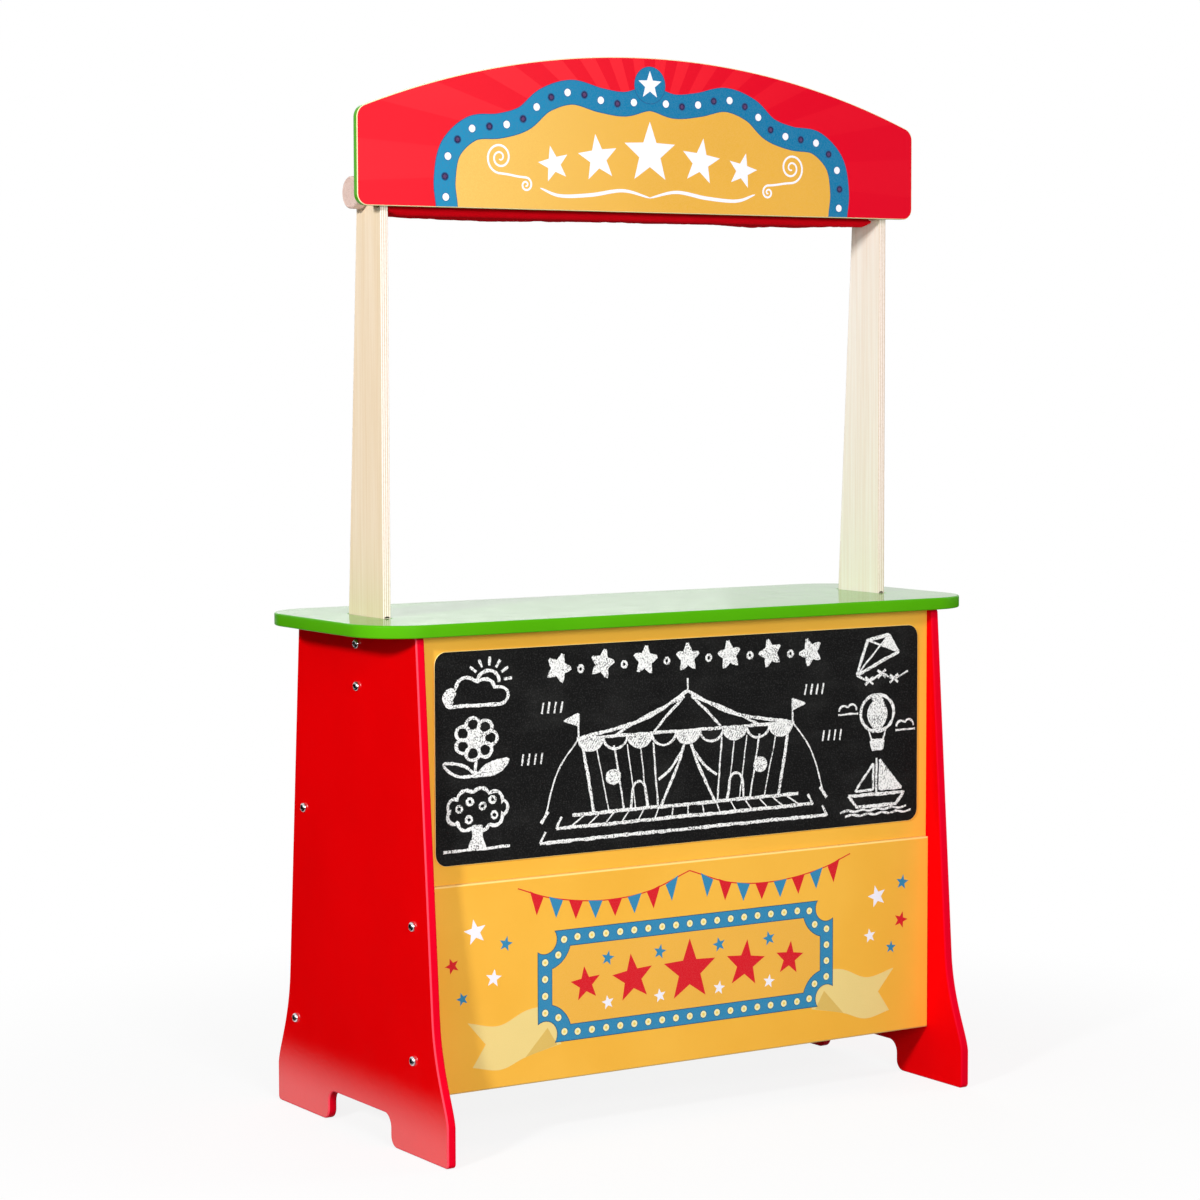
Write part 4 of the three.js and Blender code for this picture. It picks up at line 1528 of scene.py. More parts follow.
@dataclass
class PanelPrint:
    """The printed ornament of the lower panel: a bulb-lit plaque, bunting, ribbon and stars."""

    centre: Point = (0.0, 0.1610)
    half_width: float = 0.1850
    half_height: float = 0.0510
    notch: float = 0.0240
    band: float = 0.0165
    line: float = 0.0008
    bulb: float = 0.0038
    bulb_rim: float = 0.0006
    bulb_spacing: float = 0.0182
    ribbon_top: Sequence[Point] = (
        (0.1650, 0.1420), (0.2060, 0.1400), (0.2420, 0.1270), (0.2800, 0.1340),
    )
    ribbon_notch: Point = (0.2580, 0.1090)
    ribbon_low: Sequence[Point] = (
        (0.2740, 0.0860), (0.2400, 0.0800), (0.2080, 0.0900), (0.1650, 0.0990),
    )
    ribbon_fold: Sequence[Point] = ((0.1820, 0.1180), (0.2090, 0.0900), (0.1700, 0.0985))
    scattered: Sequence[tuple[str, float, float, float, float]] = (
        ("white", -0.2700, 0.2290, 0.0140, 10), ("blue", -0.2330, 0.2130, 0.0085, -14),
        ("red", -0.2980, 0.1960, 0.0090, 20), ("white", -0.2480, 0.1780, 0.0100, -8),
        ("blue", -0.2860, 0.1600, 0.0075, 16), ("blue", 0.2920, 0.2310, 0.0090, -10),
        ("white", 0.2560, 0.2180, 0.0130, 14), ("red", 0.2900, 0.1880, 0.0100, -18),
        ("white", 0.2460, 0.1740, 0.0085, 8), ("blue", 0.2760, 0.1580, 0.0075, -6),
    )
    swag: Sequence[Point] = (
        (0.0, 0.2700), (0.0550, 0.2520), (0.1150, 0.2480), (0.1750, 0.2560), (0.2180, 0.2700),
    )
    string: float = 0.0013
    flag_spacing: float = 0.0255
    flag_gap: float = 0.0035
    flag_length: float = 0.0185

    def plaque(self, grow: float) -> list[Point]:
        """Returns a rectangle with scooped corners, moved outwards by a distance.

        Args:
            grow: The distance.

        Returns:
            The outline's points.
        """
        scoop, quarter = self.notch - grow, math.pi / 2
        lean = math.asin(grow / scoop)
        path = []
        for i, (right, up) in enumerate(((1, 1), (-1, 1), (-1, -1), (1, -1))):
            corner = (
                self.centre[0] + right * self.half_width,
                self.centre[1] + up * self.half_height,
            )
            start = (i - 1) * quarter
            path += arc(corner, scoop, start + lean, start - quarter - lean, 12)
        return path

    def build(self) -> None:
        """Prints all layers."""
        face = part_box("lower_front_panel")[0].y
        films = layers("panel", face, PANEL_INKS, (
            ("ribbon", 1, "ribbon"), ("ribbon_folds", 2, "fold"), ("plaque_field", 3, "yellow"),
            ("plaque_line", 4, "deep_blue"), ("plaque_border", 5, "blue"),
            ("bulb_rims", 6, "deep_blue"), ("bulbs", 7, "cream"), ("bulb_hearts", 8, "gold"),
            ("red_shapes", 4, "red"), ("blue_shapes", 4, "blue"), ("white_stars", 4, "white"),
            ("red_loose_shapes", 1, "red"), ("blue_loose_shapes", 1, "blue"),
            ("white_loose_stars", 1, "white"),
        ))
        half, ring = self.band / 2, self.plaque(0.0)
        outer, inner = half + self.line, -half - self.line
        films["plaque_field"].patch(ring)
        films["plaque_line"].strip(self.plaque(outer), self.plaque(inner), closed=True)
        films["plaque_border"].strip(self.plaque(half), self.plaque(-half), closed=True)
        for spot in spaced([*ring, ring[0]], self.bulb_spacing)[:-1]:
            films["bulb_rims"].disc(spot, self.bulb + self.bulb_rim, 20)
            films["bulbs"].disc(spot, self.bulb, 20)
            films["bulb_hearts"].disc(spot, self.bulb * 0.42, 14)
        tail = [*smooth_path(self.ribbon_top), self.ribbon_notch, *smooth_path(self.ribbon_low)]
        for side in (1, -1):
            films["ribbon"].patch(mirrored(tail, side))
            films["ribbon_folds"].patch(mirrored(self.ribbon_fold, side))
        self.stars(films)
        self.bunting(films["red_loose_shapes"], films["blue_loose_shapes"], face)
        for film in films.values():
            film.lay()

    def stars(self, films: dict[str, Film]) -> None:
        """Adds the stars inside the plaque and at both sides of it.

        Args:
            films: The print's films by name.
        """
        x, z = self.centre
        for place, radius in ((0.0, 0.0355), (0.0740, 0.0270), (0.1340, 0.0195)):
            for side in both(place):
                turn = -side * 6 if place else 0
                films["red_shapes"].star((x + side * place, z - 0.001), radius, turn)
        for place in (0.0390, 0.1060):
            for side in (1, -1):
                films["blue_shapes"].star((x + side * place, z + 0.0240), 0.0085, side * 12)
                films["white_stars"].star((x + side * place, z - 0.0240), 0.0080, -side * 9)
        for ink, x, z, radius, turn in self.scattered:
            kind = "stars" if ink == "white" else "shapes"
            films[f"{ink}_loose_{kind}"].star((x, z), radius, turn)

    def bunting(self, red: Film, blue: Film, face: float) -> None:
        """Hangs two swags of pennants over the plaque.

        Args:
            red: The film of the red pennants.
            blue: The film of the blue ones.
            face: The place of the panel's front.
        """
        strings = Linework("panel_bunting_string", face, 1, PANEL_INKS["red"], 0.05)
        for side in (1, -1):
            swag = smooth_path(mirrored(self.swag, side), 12)
            strings.line(swag, [self.string] * len(swag))
            for i, ends in enumerate(pairwise(spaced(swag, self.flag_spacing, 0.012))):
                (left, high), (right, low) = sorted(ends)
                tip = ((left + right) / 2, min(high, low) - self.flag_length)
                flag = [(left + self.flag_gap, high), tip, (right - self.flag_gap, low)]
                (red if i % 2 else blue).patch(flag)
        strings.lay()


@dataclass
class ChalkDrawing:
    """Chalk doodles on the board: a striped tent, a row of stars and small things at both sides.

    Each doodle's points are millimetres from its centre, and its widths are shares of the full one.
    """

    width: float = 0.0038
    unevenness: Point = (0.72, 1.18)
    spacing: float = 0.0028
    sway: float = 0.0007
    sway_scale: float = 70.0
    millimetre: float = 0.001
    slant: Point = (0.5, 0.866)
    seed: int = 7
    centre: Point = (0.0, 0.0)
    zoom: float = 0.001
    lines: Linework = field(init=False)
    dice: random.Random = field(init=False)

    def __post_init__(self) -> None:
        """Opens the drawing on the board's face."""
        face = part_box("chalkboard")[0].y
        self.lines = Linework("chalk_drawing", face, 1, CHALK)
        self.dice = random.Random(self.seed)
        noise.seed_set(self.seed)

    def draw(self, path: Sequence[Point], width: float = 1.0) -> None:
        """Draws a path by hand: a little unsteady, with an uneven width.

        Args:
            path: Its points.
            width: Its width.
        """
        left, low = self.centre
        shaken, widths = [], []
        placed = [(left + x * self.zoom, low + z * self.millimetre) for x, z in path]
        for x, z in spaced(placed, self.spacing):
            place = Vector((x * self.sway_scale, z * self.sway_scale, self.seed))
            sway = noise.noise_vector(place) * self.sway
            shaken.append((x + sway.x, z + sway.y))
            widths.append(self.width * width * self.dice.uniform(*self.unevenness))
        self.lines.line(shaken, widths)

    def curve(self, knots: Sequence[Point], width: float = 1.0) -> None:
        """Draws a smooth curve through the knots."""
        self.draw(smooth_path(knots), width)

    def ring(self, centre: Point, radius: float, width: float = 1.0) -> None:
        """Draws a loop that overruns its start a little."""
        self.draw(arc(centre, radius, 0.4, 0.6 + math.tau, 30), width)

    def fill(self, outline: Sequence[Point], spacing: float = 1.9) -> None:
        """Rubs an outline full with slanting strokes.

        Args:
            outline: The outline's points.
            spacing: The distance between two strokes.
        """
        middle = Vector((sum(p[0] for p in outline), sum(p[1] for p in outline))) / len(outline)
        reach = max((Vector(p) - middle).length for p in outline)
        way, across = Vector(self.slant), Vector((self.slant[1], -self.slant[0]))
        for i in range(1, int(2 * reach / spacing)):
            start = middle + across * (i * spacing - reach)
            hits = []
            for a, b in pairwise([*outline, outline[0]]):
                p, q = Vector(a) - start, Vector(b) - start
                side_p, side_q = p.dot(across), q.dot(across)
                if side_p * side_q < 0:
                    hits.append((p + (q - p) * side_p / (side_p - side_q)).dot(way))
            hits.sort()
            for low, high in zip(hits[::2], hits[1::2]):
                if high - low > 2:
                    self.draw([tuple(start + way * low), tuple(start + way * high)], 0.7)

    def shape(self, outline: Sequence[Point], width: float = 1.0, filled: bool = True) -> None:
        """Draws a closed outline and rubs it full.

        Args:
            outline: The outline's points.
            width: Its line's width.
            filled: Whether it is rubbed full.
        """
        self.draw([*outline, outline[0]], width)
        if filled:
            self.fill(outline)

    def dashes(self, first: Point, count: int = 4, lean: float = 2.0) -> None:
        """Draws a few short upright dashes side by side.

        Args:
            first: The top of the first one.
            count: How many there are.
            lean: How far they lean.
        """
        for i in range(count):
            x, z = first[0] + 7 * i, first[1]
            self.draw([(x, z), (x - lean, z - 12)], 0.6)

    def tent(self) -> None:
        """Draws the striped tent with its flags, ropes and steps."""
        apex, eave, foot = 151, 108, 27
        for side in (1, -1):
            self.curve(mirrored([(0, apex), (50, 124), (125, eave)], side))
            self.draw(mirrored([(120, eave - 8), (108, foot)], side))
            for share in (0.32, 0.68):
                top = side * 125 * share
                self.curve([(side * 4, apex - 6), (top * 0.62, 125), (top, eave)], 0.8)
            for share, width in ((0.32, 0.6), (0.44, 0.4), (0.56, 0.4), (0.68, 0.6), (0.84, 0.4)):
                self.draw([(side * 125 * share, eave - 10), (side * 108 * share, foot)], width)
            self.curve(mirrored([(4, 93), (12, 70), (31, 29)], side), 0.9)
            self.curve(mirrored([(6, 87), (20, 68), (34, 57)], side), 0.8)
            self.curve(mirrored([(125, eave), (148, 75), (163, 27)], side), 0.5)
            self.draw(mirrored([(159, 33), (167, 21)], side))
            self.draw(mirrored([(125, eave), (125, eave + 26)], side), 0.6)
            self.shape(mirrored([(125, eave + 26), (141, eave + 20), (125, eave + 14)], side), 0.6)
            self.shape(arc((side * 86, 64), 7, 0, math.tau, 16)[:-1])
            door = [(46, foot), (50, 52), (58, 57), (64, 50), (66, foot)]
            self.curve(mirrored(door, side), 0.8)
        for i in range(9):
            scallop = arc((-111.1 + i * 27.78, eave), 13.89, -math.pi, 0, 10)
            self.draw(scallop, 0.8)
            if i % 2 == 0:
                self.fill(scallop, 2.6)
        self.draw([(-127, eave), (127, eave)], 0.9)
        self.draw([(0, apex), (0, apex + 14)], 0.6)
        for i, (z, half) in enumerate(((foot, 132), (14, 150), (0, 168))):
            self.draw([(-half, z), (half, z + 1)], 1.0)
            for side in (1, -1) if i else ():
                self.draw([(side * half, z), (side * (half - 6), z + 12)], 0.8)
        for i in range(-7, 8):
            self.draw([(i * 17, 26), (i * 19, 15.5)], 0.45)
        for first in ((142, 149), (-164, 149), (-186, 96), (164, 96)):
            self.dashes(first)

    def stars(self) -> None:
        """Draws the row of full stars and dots above the tent."""
        for i in range(-3, 4):
            lift = (9 - i * i) / 3
            spots = []
            for k in range(10):
                angle, reach = math.radians(90 + i * 7 + 36 * k), 7 if k % 2 else 15.5
                spots.append((i * 56 + reach * math.cos(angle), lift + reach * math.sin(angle)))
            self.shape(spots)
            if i < 3:
                self.ring(((i + 0.5) * 56, lift - 2), 3.4, 0.8)

    def cloud(self) -> None:
        """Draws the sun behind a cloud."""
        self.draw(arc((13, 6), 12, -0.1, 3.0, 20))
        for i in range(7):
            angle = 0.1 + i * 0.47
            self.draw([(13 + r * math.cos(angle), 6 + r * math.sin(angle)) for r in (17, 26)], 0.8)
        puffs = (
            (-27, -9, 9, 265, 75), (-11, 0, 12, 175, 45), (9, -2, 11, 130, 10), (26, -9, 9, 95, -90)
        )
        outline = []
        for x, z, radius, start, end in puffs:
            outline += arc((x, z), radius, math.radians(start), math.radians(end), 9)
        self.shape(outline, filled=False)
        self.fill(outline[:14])

    def flower(self) -> None:
        """Draws a flower between two leaves."""
        self.shape(arc((0, 8), 6, 0, math.tau, 16)[:-1])
        for i in range(7):
            angle = i * math.tau / 7
            spot = (15.5 * math.cos(angle), 8 + 15.5 * math.sin(angle))
            self.ring(spot, 7.2)
        self.curve([(0, -15), (-1, -24), (0, -33)])
        for side in (1, -1):
            leaf = [(0, -31), (side * 13, -19), (side * 34, -16), (side * 22, -29), (0, -31)]
            outline = smooth_path(leaf)
            self.draw(outline, 0.9)
            if side > 0:
                self.fill(outline)

    def tree(self) -> None:
        """Draws a tree with fruit on a stretch of ground."""
        crown = []
        for i in range(9):
            angle = i * math.tau / 9
            spot = (25 * math.cos(angle), 9 + 14 * math.sin(angle))
            crown += arc(spot, 9, angle - 1.15, angle + 1.15, 6)
        self.shape(crown, filled=False)
        self.shape([(-5, -8), (5, -8), (4.5, -20), (9, -32), (-9, -32), (-4.5, -20)], 0.7)
        self.draw([(-37, -33), (36, -32)], 0.8)
        for i, spot in enumerate(((-20, 11), (-9, -1), (19, 2), (-8, 18), (6, 12), (17, 18))):
            self.ring(spot, 3.4, 0.9 if i % 2 else 0.7)

    def kite(self) -> None:
        """Draws a kite with a bowed tail."""
        top, right, low, left = (16, 27), (27, 7), (-20, -17), (-8, 22)
        self.shape([top, right, low, left], filled=False)
        self.draw([top, low], 0.6)
        self.draw([right, left], 0.6)
        self.fill([top, right, (8, 14)])
        self.curve([low, (-6, -24), (8, -17), (22, -23), (38, -16)], 0.6)
        for x, z in ((-6, -24), (8, -17), (22, -23)):
            for lean in (4.5, -4.5):
                self.draw([(x - 4.5, z - lean), (x + 4.5, z + lean)], 0.8)

    def balloon(self) -> None:
        """Draws a balloon between two small clouds."""
        self.ring((0, 9), 21)
        for bend in (-12, 12):
            self.curve([(0, 30), (bend, 9), (bend * 0.3, -11)], 0.6)
        self.fill([(-5, 29), (6, 29), (12, 9), (4, -11), (-4, -11), (-12, 9)], 2.4)
        for side in (1, -1):
            self.draw([(side * 11, -9), (side * 7, -22)], 0.6)
        self.shape([(-8, -22), (8, -22), (6, -32), (-6, -32)])
        for x, z in ((-42, 14), (30, -8)):
            puffs = arc((x, z), 6, math.pi, 0.6, 8) + arc((x + 10, z + 1), 6, 2.2, -0.2, 8)
            self.draw(puffs, 0.7)
            self.draw([(x - 7, z - 4), (x + 18, z - 4)], 0.6)

    def boat(self) -> None:
        """Draws a sailing boat on waves."""
        self.shape([(-34, -11), (34, -11), (24, -24), (-24, -24)], filled=False)
        self.draw([(0, -11), (0, 30)], 0.8)
        self.shape([(4, 28), (31, -6), (4, -6)], 0.7)
        self.shape([(-4, 24), (-26, -6), (-4, -6)], 0.8, False)
        for z, shift in ((-29, 0), (-34, 6)):
            self.curve([(-44 + shift + i * 9, z + 1.8 * (i % 2)) for i in range(10)], 0.7)

    def build(self) -> None:
        """Draws everything."""
        doodles = (
            (self.tent, (0.0, 0.3150), 0.00112), (self.stars, (0.0, 0.4995), 0.00098),
            (self.cloud, (-0.2650, 0.4840), 0.0011), (self.flower, (-0.2660, 0.4230), 0.00114),
            (self.tree, (-0.2650, 0.3480), 0.0011), (self.kite, (0.2540, 0.4870), 0.00125),
            (self.balloon, (0.2580, 0.4170), 0.00112), (self.boat, (0.2570, 0.3450), 0.00115),
        )
        for doodle, self.centre, self.zoom in doodles:
            doodle()
        self.lines.lay()


# ---- fixings


@dataclass
class Fixings:
    """Bolts, nuts, screws and the domed bolts of the sign."""

    head_radius: float = 0.0051
    head_height: float = 0.0032
    head_crown: float = 0.56
    head_brim: float = 0.0007
    shank: float = 0.0030
    socket: float = 0.0026
    socket_depth: float = 0.0018
    bore_play: float = 0.00025
    tip: float = 0.0008
    dome_radius: float = 0.0068
    dome_height: float = 0.0060
    dome_shank: float = 0.0025
    cross: float = 0.0021
    cross_floor: float = 0.0019
    cross_depth: float = 0.0012
    cross_point: float = 0.0014
    countersink: float = 0.0022
    screw_ease: float = 0.0002
    slot: float = 0.0036
    slot_depth: float = 0.0010
    barrel_ease: float = 0.0004
    nut_ease: float = 0.0005
    bolt_ease: float = 0.0002
    socket_ease: float = 0.00012

    def crowned(self, inner: float, outer: float, height: float, steps: int) -> list[Point]:
        """Returns the (radius, height) steps of a round head, from its top to its side."""
        angles = [math.pi / 2 * step / steps for step in range(steps + 1)]
        return [(inner + (outer - inner) * math.sin(a), height * (1 - math.cos(a))) for a in angles]

    def sideways(self, node: str) -> tuple[Vector, Vector, float]:
        """Returns where a fixing along X starts outside, its inward axis and its length.

        Args:
            node: The fixing's node.

        Returns:
            The start, the axis and the length.
        """
        low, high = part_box(node)
        outside, way = (high.x, -1) if high.x > 0 else (low.x, 1)
        middle = (low + high) / 2
        return Vector((outside, middle.y, middle.z)), Vector((way, 0, 0)), high.x - low.x

    def lengthways(self, node: str) -> tuple[Vector, Vector, float, float]:
        """Returns where a fixing along Y or Z starts, its axis, its length and its radius.

        Args:
            node: The fixing's node.

        Returns:
            The start, the axis, the length and the radius.
        """
        low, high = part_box(node)
        upright = high.z - low.z > high.y - low.y
        axis = Vector((0, 0, 1)) if upright else Vector((0, -1, 0))
        length = high.z - low.z if upright else high.y - low.y
        return (low + high) / 2 - axis * length / 2, axis, length, (high.x - low.x) / 2

    def bolt(self, node: str) -> None:
        """Turns a button-head bolt with a hexagon socket.

        Args:
            node: The node that it stands for.
        """
        start, axis, length = self.sideways(node)
        head, radius, ease = self.head_height, self.head_radius, self.bolt_ease
        profile = [
            (0, self.socket_depth), (self.socket, self.socket_depth, Ring.HEX),
            (self.socket, self.socket_ease, Ring.HEX),
            *self.crowned(radius * self.head_crown, radius, head - self.head_brim, 10),
            (radius, head - ease), (radius - ease, head), (self.shank, head),
            (self.shank, length - self.tip), (self.shank - self.tip, length), (0, length),
        ]
        Turned(f"{node}_turned", profile, start, axis, STEEL, recess=self.socket).spin(node)

    def nut(self, node: str) -> None:
        """Turns a hexagon nut with chamfered corners and a bore.

        Args:
            node: The node that it stands for.
        """
        start, axis, length = self.sideways(node)
        low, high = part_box(node)
        corner, ease = max(high.y - low.y, high.z - low.z) / 2, self.nut_ease
        bore, flank = self.shank + self.bore_play, corner - 3 * ease
        profile = [
            (bore, 0), (flank, 0), (corner, ease, Ring.HEX), (corner, length - ease, Ring.HEX),
            (flank, length), (bore, length),
        ]
        Turned(f"{node}_turned", profile, start, axis, STEEL, closed=True).spin(node)

    def barrel_nut(self, node: str) -> None:
        """Turns a barrel nut with a slotted end.

        Args:
            node: The node that it stands for.
        """
        start, axis, length, radius = self.lengthways(node)
        slot, depth, ease = self.slot, self.slot_depth, self.barrel_ease
        profile = [
            (0, depth), (slot, depth, Ring.SLOT), (slot, 0, Ring.SLOT), (radius - ease, 0),
            (radius, ease), (radius, length - ease), (radius - ease, length), (0, length),
        ]
        Turned(f"{node}_turned", profile, start, axis, STEEL).spin(node)

    def screw(self, node: str) -> None:
        """Turns a countersunk wood screw with a cross recess.

        Args:
            node: The node that it stands for.
        """
        start, axis, length, radius = self.lengthways(node)
        profile = [
            (0, self.cross_point), (self.cross_floor, self.cross_depth, Ring.CROSS),
            (self.cross, 0, Ring.CROSS), (radius - self.screw_ease, 0), (radius, self.screw_ease),
            (radius / 2, self.countersink), (radius / 2, length), (0, length),
        ]
        Turned(f"{node}_turned", profile, start, axis, STEEL).spin(node)

    def dome(self, node: str) -> None:
        """Turns the domed head of a sign bolt.

        Args:
            node: The node that it stands for.
        """
        start, axis, length = self.sideways(node)
        profile = [
            *self.crowned(0.0, self.dome_radius, self.dome_height, 12),
            (self.dome_shank, self.dome_height), (self.dome_shank, length), (0, length),
        ]
        Turned(f"{node}_turned", profile, start, axis, BRONZE).spin(node)

    def build(self) -> None:
        """Turns every fixing of both sides."""
        for name in SIDES:
            for label in ("panel_1", "panel_2", "bottom_shelf", "middle_shelf"):
                self.bolt(f"{name}_{label}_bolt")
                self.barrel_nut(f"{name}_{label}_barrel_nut")
            for number in (1, 2):
                self.bolt(f"{name}_post_bolt_{number}")
                self.nut(f"{name}_post_nut_{number}")
            for label in ("counter", "header"):
                self.screw(f"{name}_{label}_screw")
            self.dome(f"{name}_header_bolt")


@dataclass
class Carcass:
    """The shelves, battens and dowels, whose shapes come from the frame."""

    plies: int = 7

    def build(self) -> None:
        """Dresses every node."""
        for name in ("bottom_shelf", "middle_shelf"):
            low, high = Plane.FLAT.span(name)
            shelf = PlySheet(
                f"{name}_birch", "birch_plywood", srgb(250, 236, 216), srgb(232, 210, 178),
                Grain.ALONG_X, 0.4, start=low, layer=(high - low) / self.plies,
            )
            dress(name, shelf)
        for name in ("counter_batten", "header_batten"):
            dress(name, pine("planed_pine", Grain.ALONG_X))
        dowels = (
            "bottom_shelf_dowel", "middle_shelf_dowel", "counter_dowel_1", "counter_dowel_2",
        )
        for side in SIDES:
            dress(f"{side}_panel_cleat", pine("upright_pine", Grain.ALONG_Z))
            for label in dowels:
                dress(f"{side}_{label}", BEECH)


# ---- the roller and its curtain


@dataclass
class Roller:
    """The turned roller and its two knobs."""

    ease: float = 0.0006
    rounding: float = 0.0030
    crown: float = 0.0004
    socket_depth: float = 0.0099
    socket_play: float = 0.0001

    def build(self) -> None:
        """Turns the roller and the knobs."""
        low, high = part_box("curtain_roller")
        start, ease = (low + high) / 2, self.ease
        radius, length, start.x = (high.z - low.z) / 2, high.x - low.x, low.x
        profile = [
            (0, 0), (radius - ease, 0), (radius, ease), (radius, length - ease),
            (radius - ease, length), (0, length),
        ]
        Turned("roller_rod", profile, start, EAST, BEECH).spin("curtain_roller", "roller")
        for name, side in SIDES.items():
            self.knob(f"{name}_knob", side, radius + self.socket_play)

    def knob(self, node: str, side: int, bore: float) -> None:
        """Turns a knob: a thick disc with a soft rim, glued over the rod's end.

        Args:
            node: The node that it stands for.
            side: Its side of the stand, -1 or 1.
            bore: The radius of its hole.
        """
        low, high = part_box(node)
        start = (low + high) / 2
        start.x = low.x if side > 0 else high.x
        radius, length, soft = (high.z - low.z) / 2, high.x - low.x, self.rounding
        profile = [(0, self.socket_depth), (bore, self.socket_depth), (bore, 0)]
        for height, first in ((soft, -math.pi / 2), (length - soft, 0.0)):
            profile += arc((radius - soft, height), soft, first, first + math.pi / 2, 8)
        profile[-1] = (radius - soft, length - self.crown)
        profile.append((0, length))
        Turned(f"{node}_turned", profile, start, Vector((side, 0, 0)), BEECH).spin(node, "roller")


@dataclass
class Curtain:
    """The velvet curtain: its winding on the roller, the free drop and the hem."""

    turns: int = 5
    core: float = 0.0082
    outer: float = 0.0247
    growth: float = 1.25
    cloth: float = 0.0010
    drop_cloth: float = 0.0006
    wave_depth: float = 0.0014
    crease_depth: float = 0.0009
    wave_length: float = 0.36
    wave_start: float = 0.19
    end_depth: float = 0.0036
    end_width: float = 0.013
    lag: float = 0.0004
    sags: Sequence[tuple[float, float, float]] = (
        (-0.19, 0.13, 0.0024), (0.03, 0.075, 0.0014), (0.17, 0.028, 0.0024), (0.23, 0.02, 0.0010),
    )
    drop: float = 0.418
    drop_gap: float = 0.0012
    hem_taper: float = 0.016
    bar_inset: float = 0.018
    bar_share: float = 0.8
    bar_steps: int = 24
    wound_cells: tuple[int, int] = (260, 36)
    hung_cells: tuple[int, int] = (130, 90)
    hem_sides: int = 28
    hem_cuts: int = 120
    stitch: float = 0.00012

    def sink(self, x: float, angle: float, half: float) -> float:
        """Returns how far the outer turn sinks: in soft waves, in creases and at both ends.

        Args:
            x: The place along the roller.
            angle: The wound angle in radians.
            half: Half the cloth's width.

        Returns:
            The depth.
        """
        turn = math.tau * (x - self.wave_start) / self.wave_length
        soft = 0.5 - 0.42 * math.cos(turn) + 0.08 * math.sin(3.7 * turn + 2 * angle)
        slant = Vector((x * 30 + 0.5 * angle, angle * 0.45, 2.0))
        crease = max(0.0, 1 - 5 * abs(noise.noise(slant))) ** 2
        fine = max(0.0, 1 - 4 * abs(noise.noise(slant * 2.3))) ** 2 * 0.5
        depth = self.wave_depth * soft + (crease + fine) * self.crease_depth
        end = math.exp(-(((half - abs(x)) / self.end_width) ** 1.5))
        return depth * (1 - end) + self.end_depth * end

    def length(self, share: float) -> float:
        """Returns the wound cloth's length from the roller to that share of all turns."""
        left = (1 - (1 - share) ** (1 + self.growth)) / (1 + self.growth)
        return self.turns * math.tau * (self.outer * share - (self.outer - self.core) * left)

    def wound(self, x: float, share: float, middle: Vector, half: float) -> tuple[Vector, Point]:
        """Returns the place of a point of the winding, and its place on the cut cloth.

        Args:
            x: The place along the roller.
            share: The share of all turns.
            middle: The roll's middle.
            half: Half the cloth's width.

        Returns:
            Both places.
        """
        angle = share * self.turns * math.tau
        radius = self.outer - (self.outer - self.core) * (1 - share) ** self.growth
        rise = radius / self.outer
        lag = self.lag * noise.noise(Vector((x * 30, share * 12, 3.0)))
        reach = radius - self.sink(x, angle, half) * rise**2 + lag * share
        spin = math.pi + angle
        sag = sum(deep * math.exp(-(((x - spot) / wide) ** 2)) for spot, wide, deep in self.sags)
        reach += sag * max(0.0, math.sin(spin)) ** 2 * rise**6
        spot = (x, middle.y + reach * math.cos(spin), middle.z - reach * math.sin(spin))
        return Vector(spot), (x, self.length(share))

    def hung(
        self, x: float, share: float, sheet: Sequence[Vector], axis: Vector
    ) -> tuple[Vector, Point]:
        """Returns the place of a point of the free drop, and its place on the cut cloth.

        Args:
            x: The place along the roller.
            share: The share of the drop above the point.
            sheet: The corners of the drop's box.
            axis: The roll's middle.

        Returns:
            Both places.
        """
        low, high = sheet
        base, height = (low.y + high.y) / 2, high.z - low.z
        z = high.z - share * height
        eased = share * share * (3 - 2 * share)
        gap = math.sqrt(max(0.0, self.outer**2 - (z - axis.z) ** 2))
        room = max(0.0, axis.y - gap - base - self.drop_gap) * math.sin(math.pi * share) ** 0.4
        fold = 0.5 + 0.5 * math.sin(x * 78 + 1.3 * math.sin(x * 19) + 1.1 * eased)
        ripple = 0.5 + 0.5 * noise.noise(Vector((x * 14, eased * 4, 1.0)))
        y = base + room * (0.62 * fold + 0.38 * ripple)
        return Vector((x, y, z)), (x, share * height + eased * self.drop)

    def wind(self) -> None:
        """Winds the cloth on the roller as one spiral sheet."""
        low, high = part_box("curtain_roll")
        middle, half = (low + high) / 2, (high.x - low.x) / 2
        piece = woven(
            "curtain_winding", self.wound_cells[0], self.wound_cells[1] * self.turns, self.cloth,
            lambda u, v: self.wound(u * 2 * half, v + 0.5, middle, half),
        )
        deliver(piece, "roller", ["curtain_roll"])
        self.length(1.0)

    def hang(self) -> None:
        """Hangs the free drop between the roller and the hem."""
        sheet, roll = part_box("curtain_sheet"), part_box("curtain_roll")
        low, high = sheet
        base, half, axis = (low.y + high.y) / 2, high.x, (roll[0] + roll[1]) / 2
        piece = woven(
            "curtain_drop_cloth", *self.hung_cells, self.drop_cloth,
            lambda u, v: self.hung(u * 2 * half, 0.5 - v, sheet, axis),
        )
        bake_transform(piece)
        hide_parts("curtain_sheet")
        count = len(piece.data.polygons)
        log.info("%s: %d faces between the roller and the hem", piece.name, count)

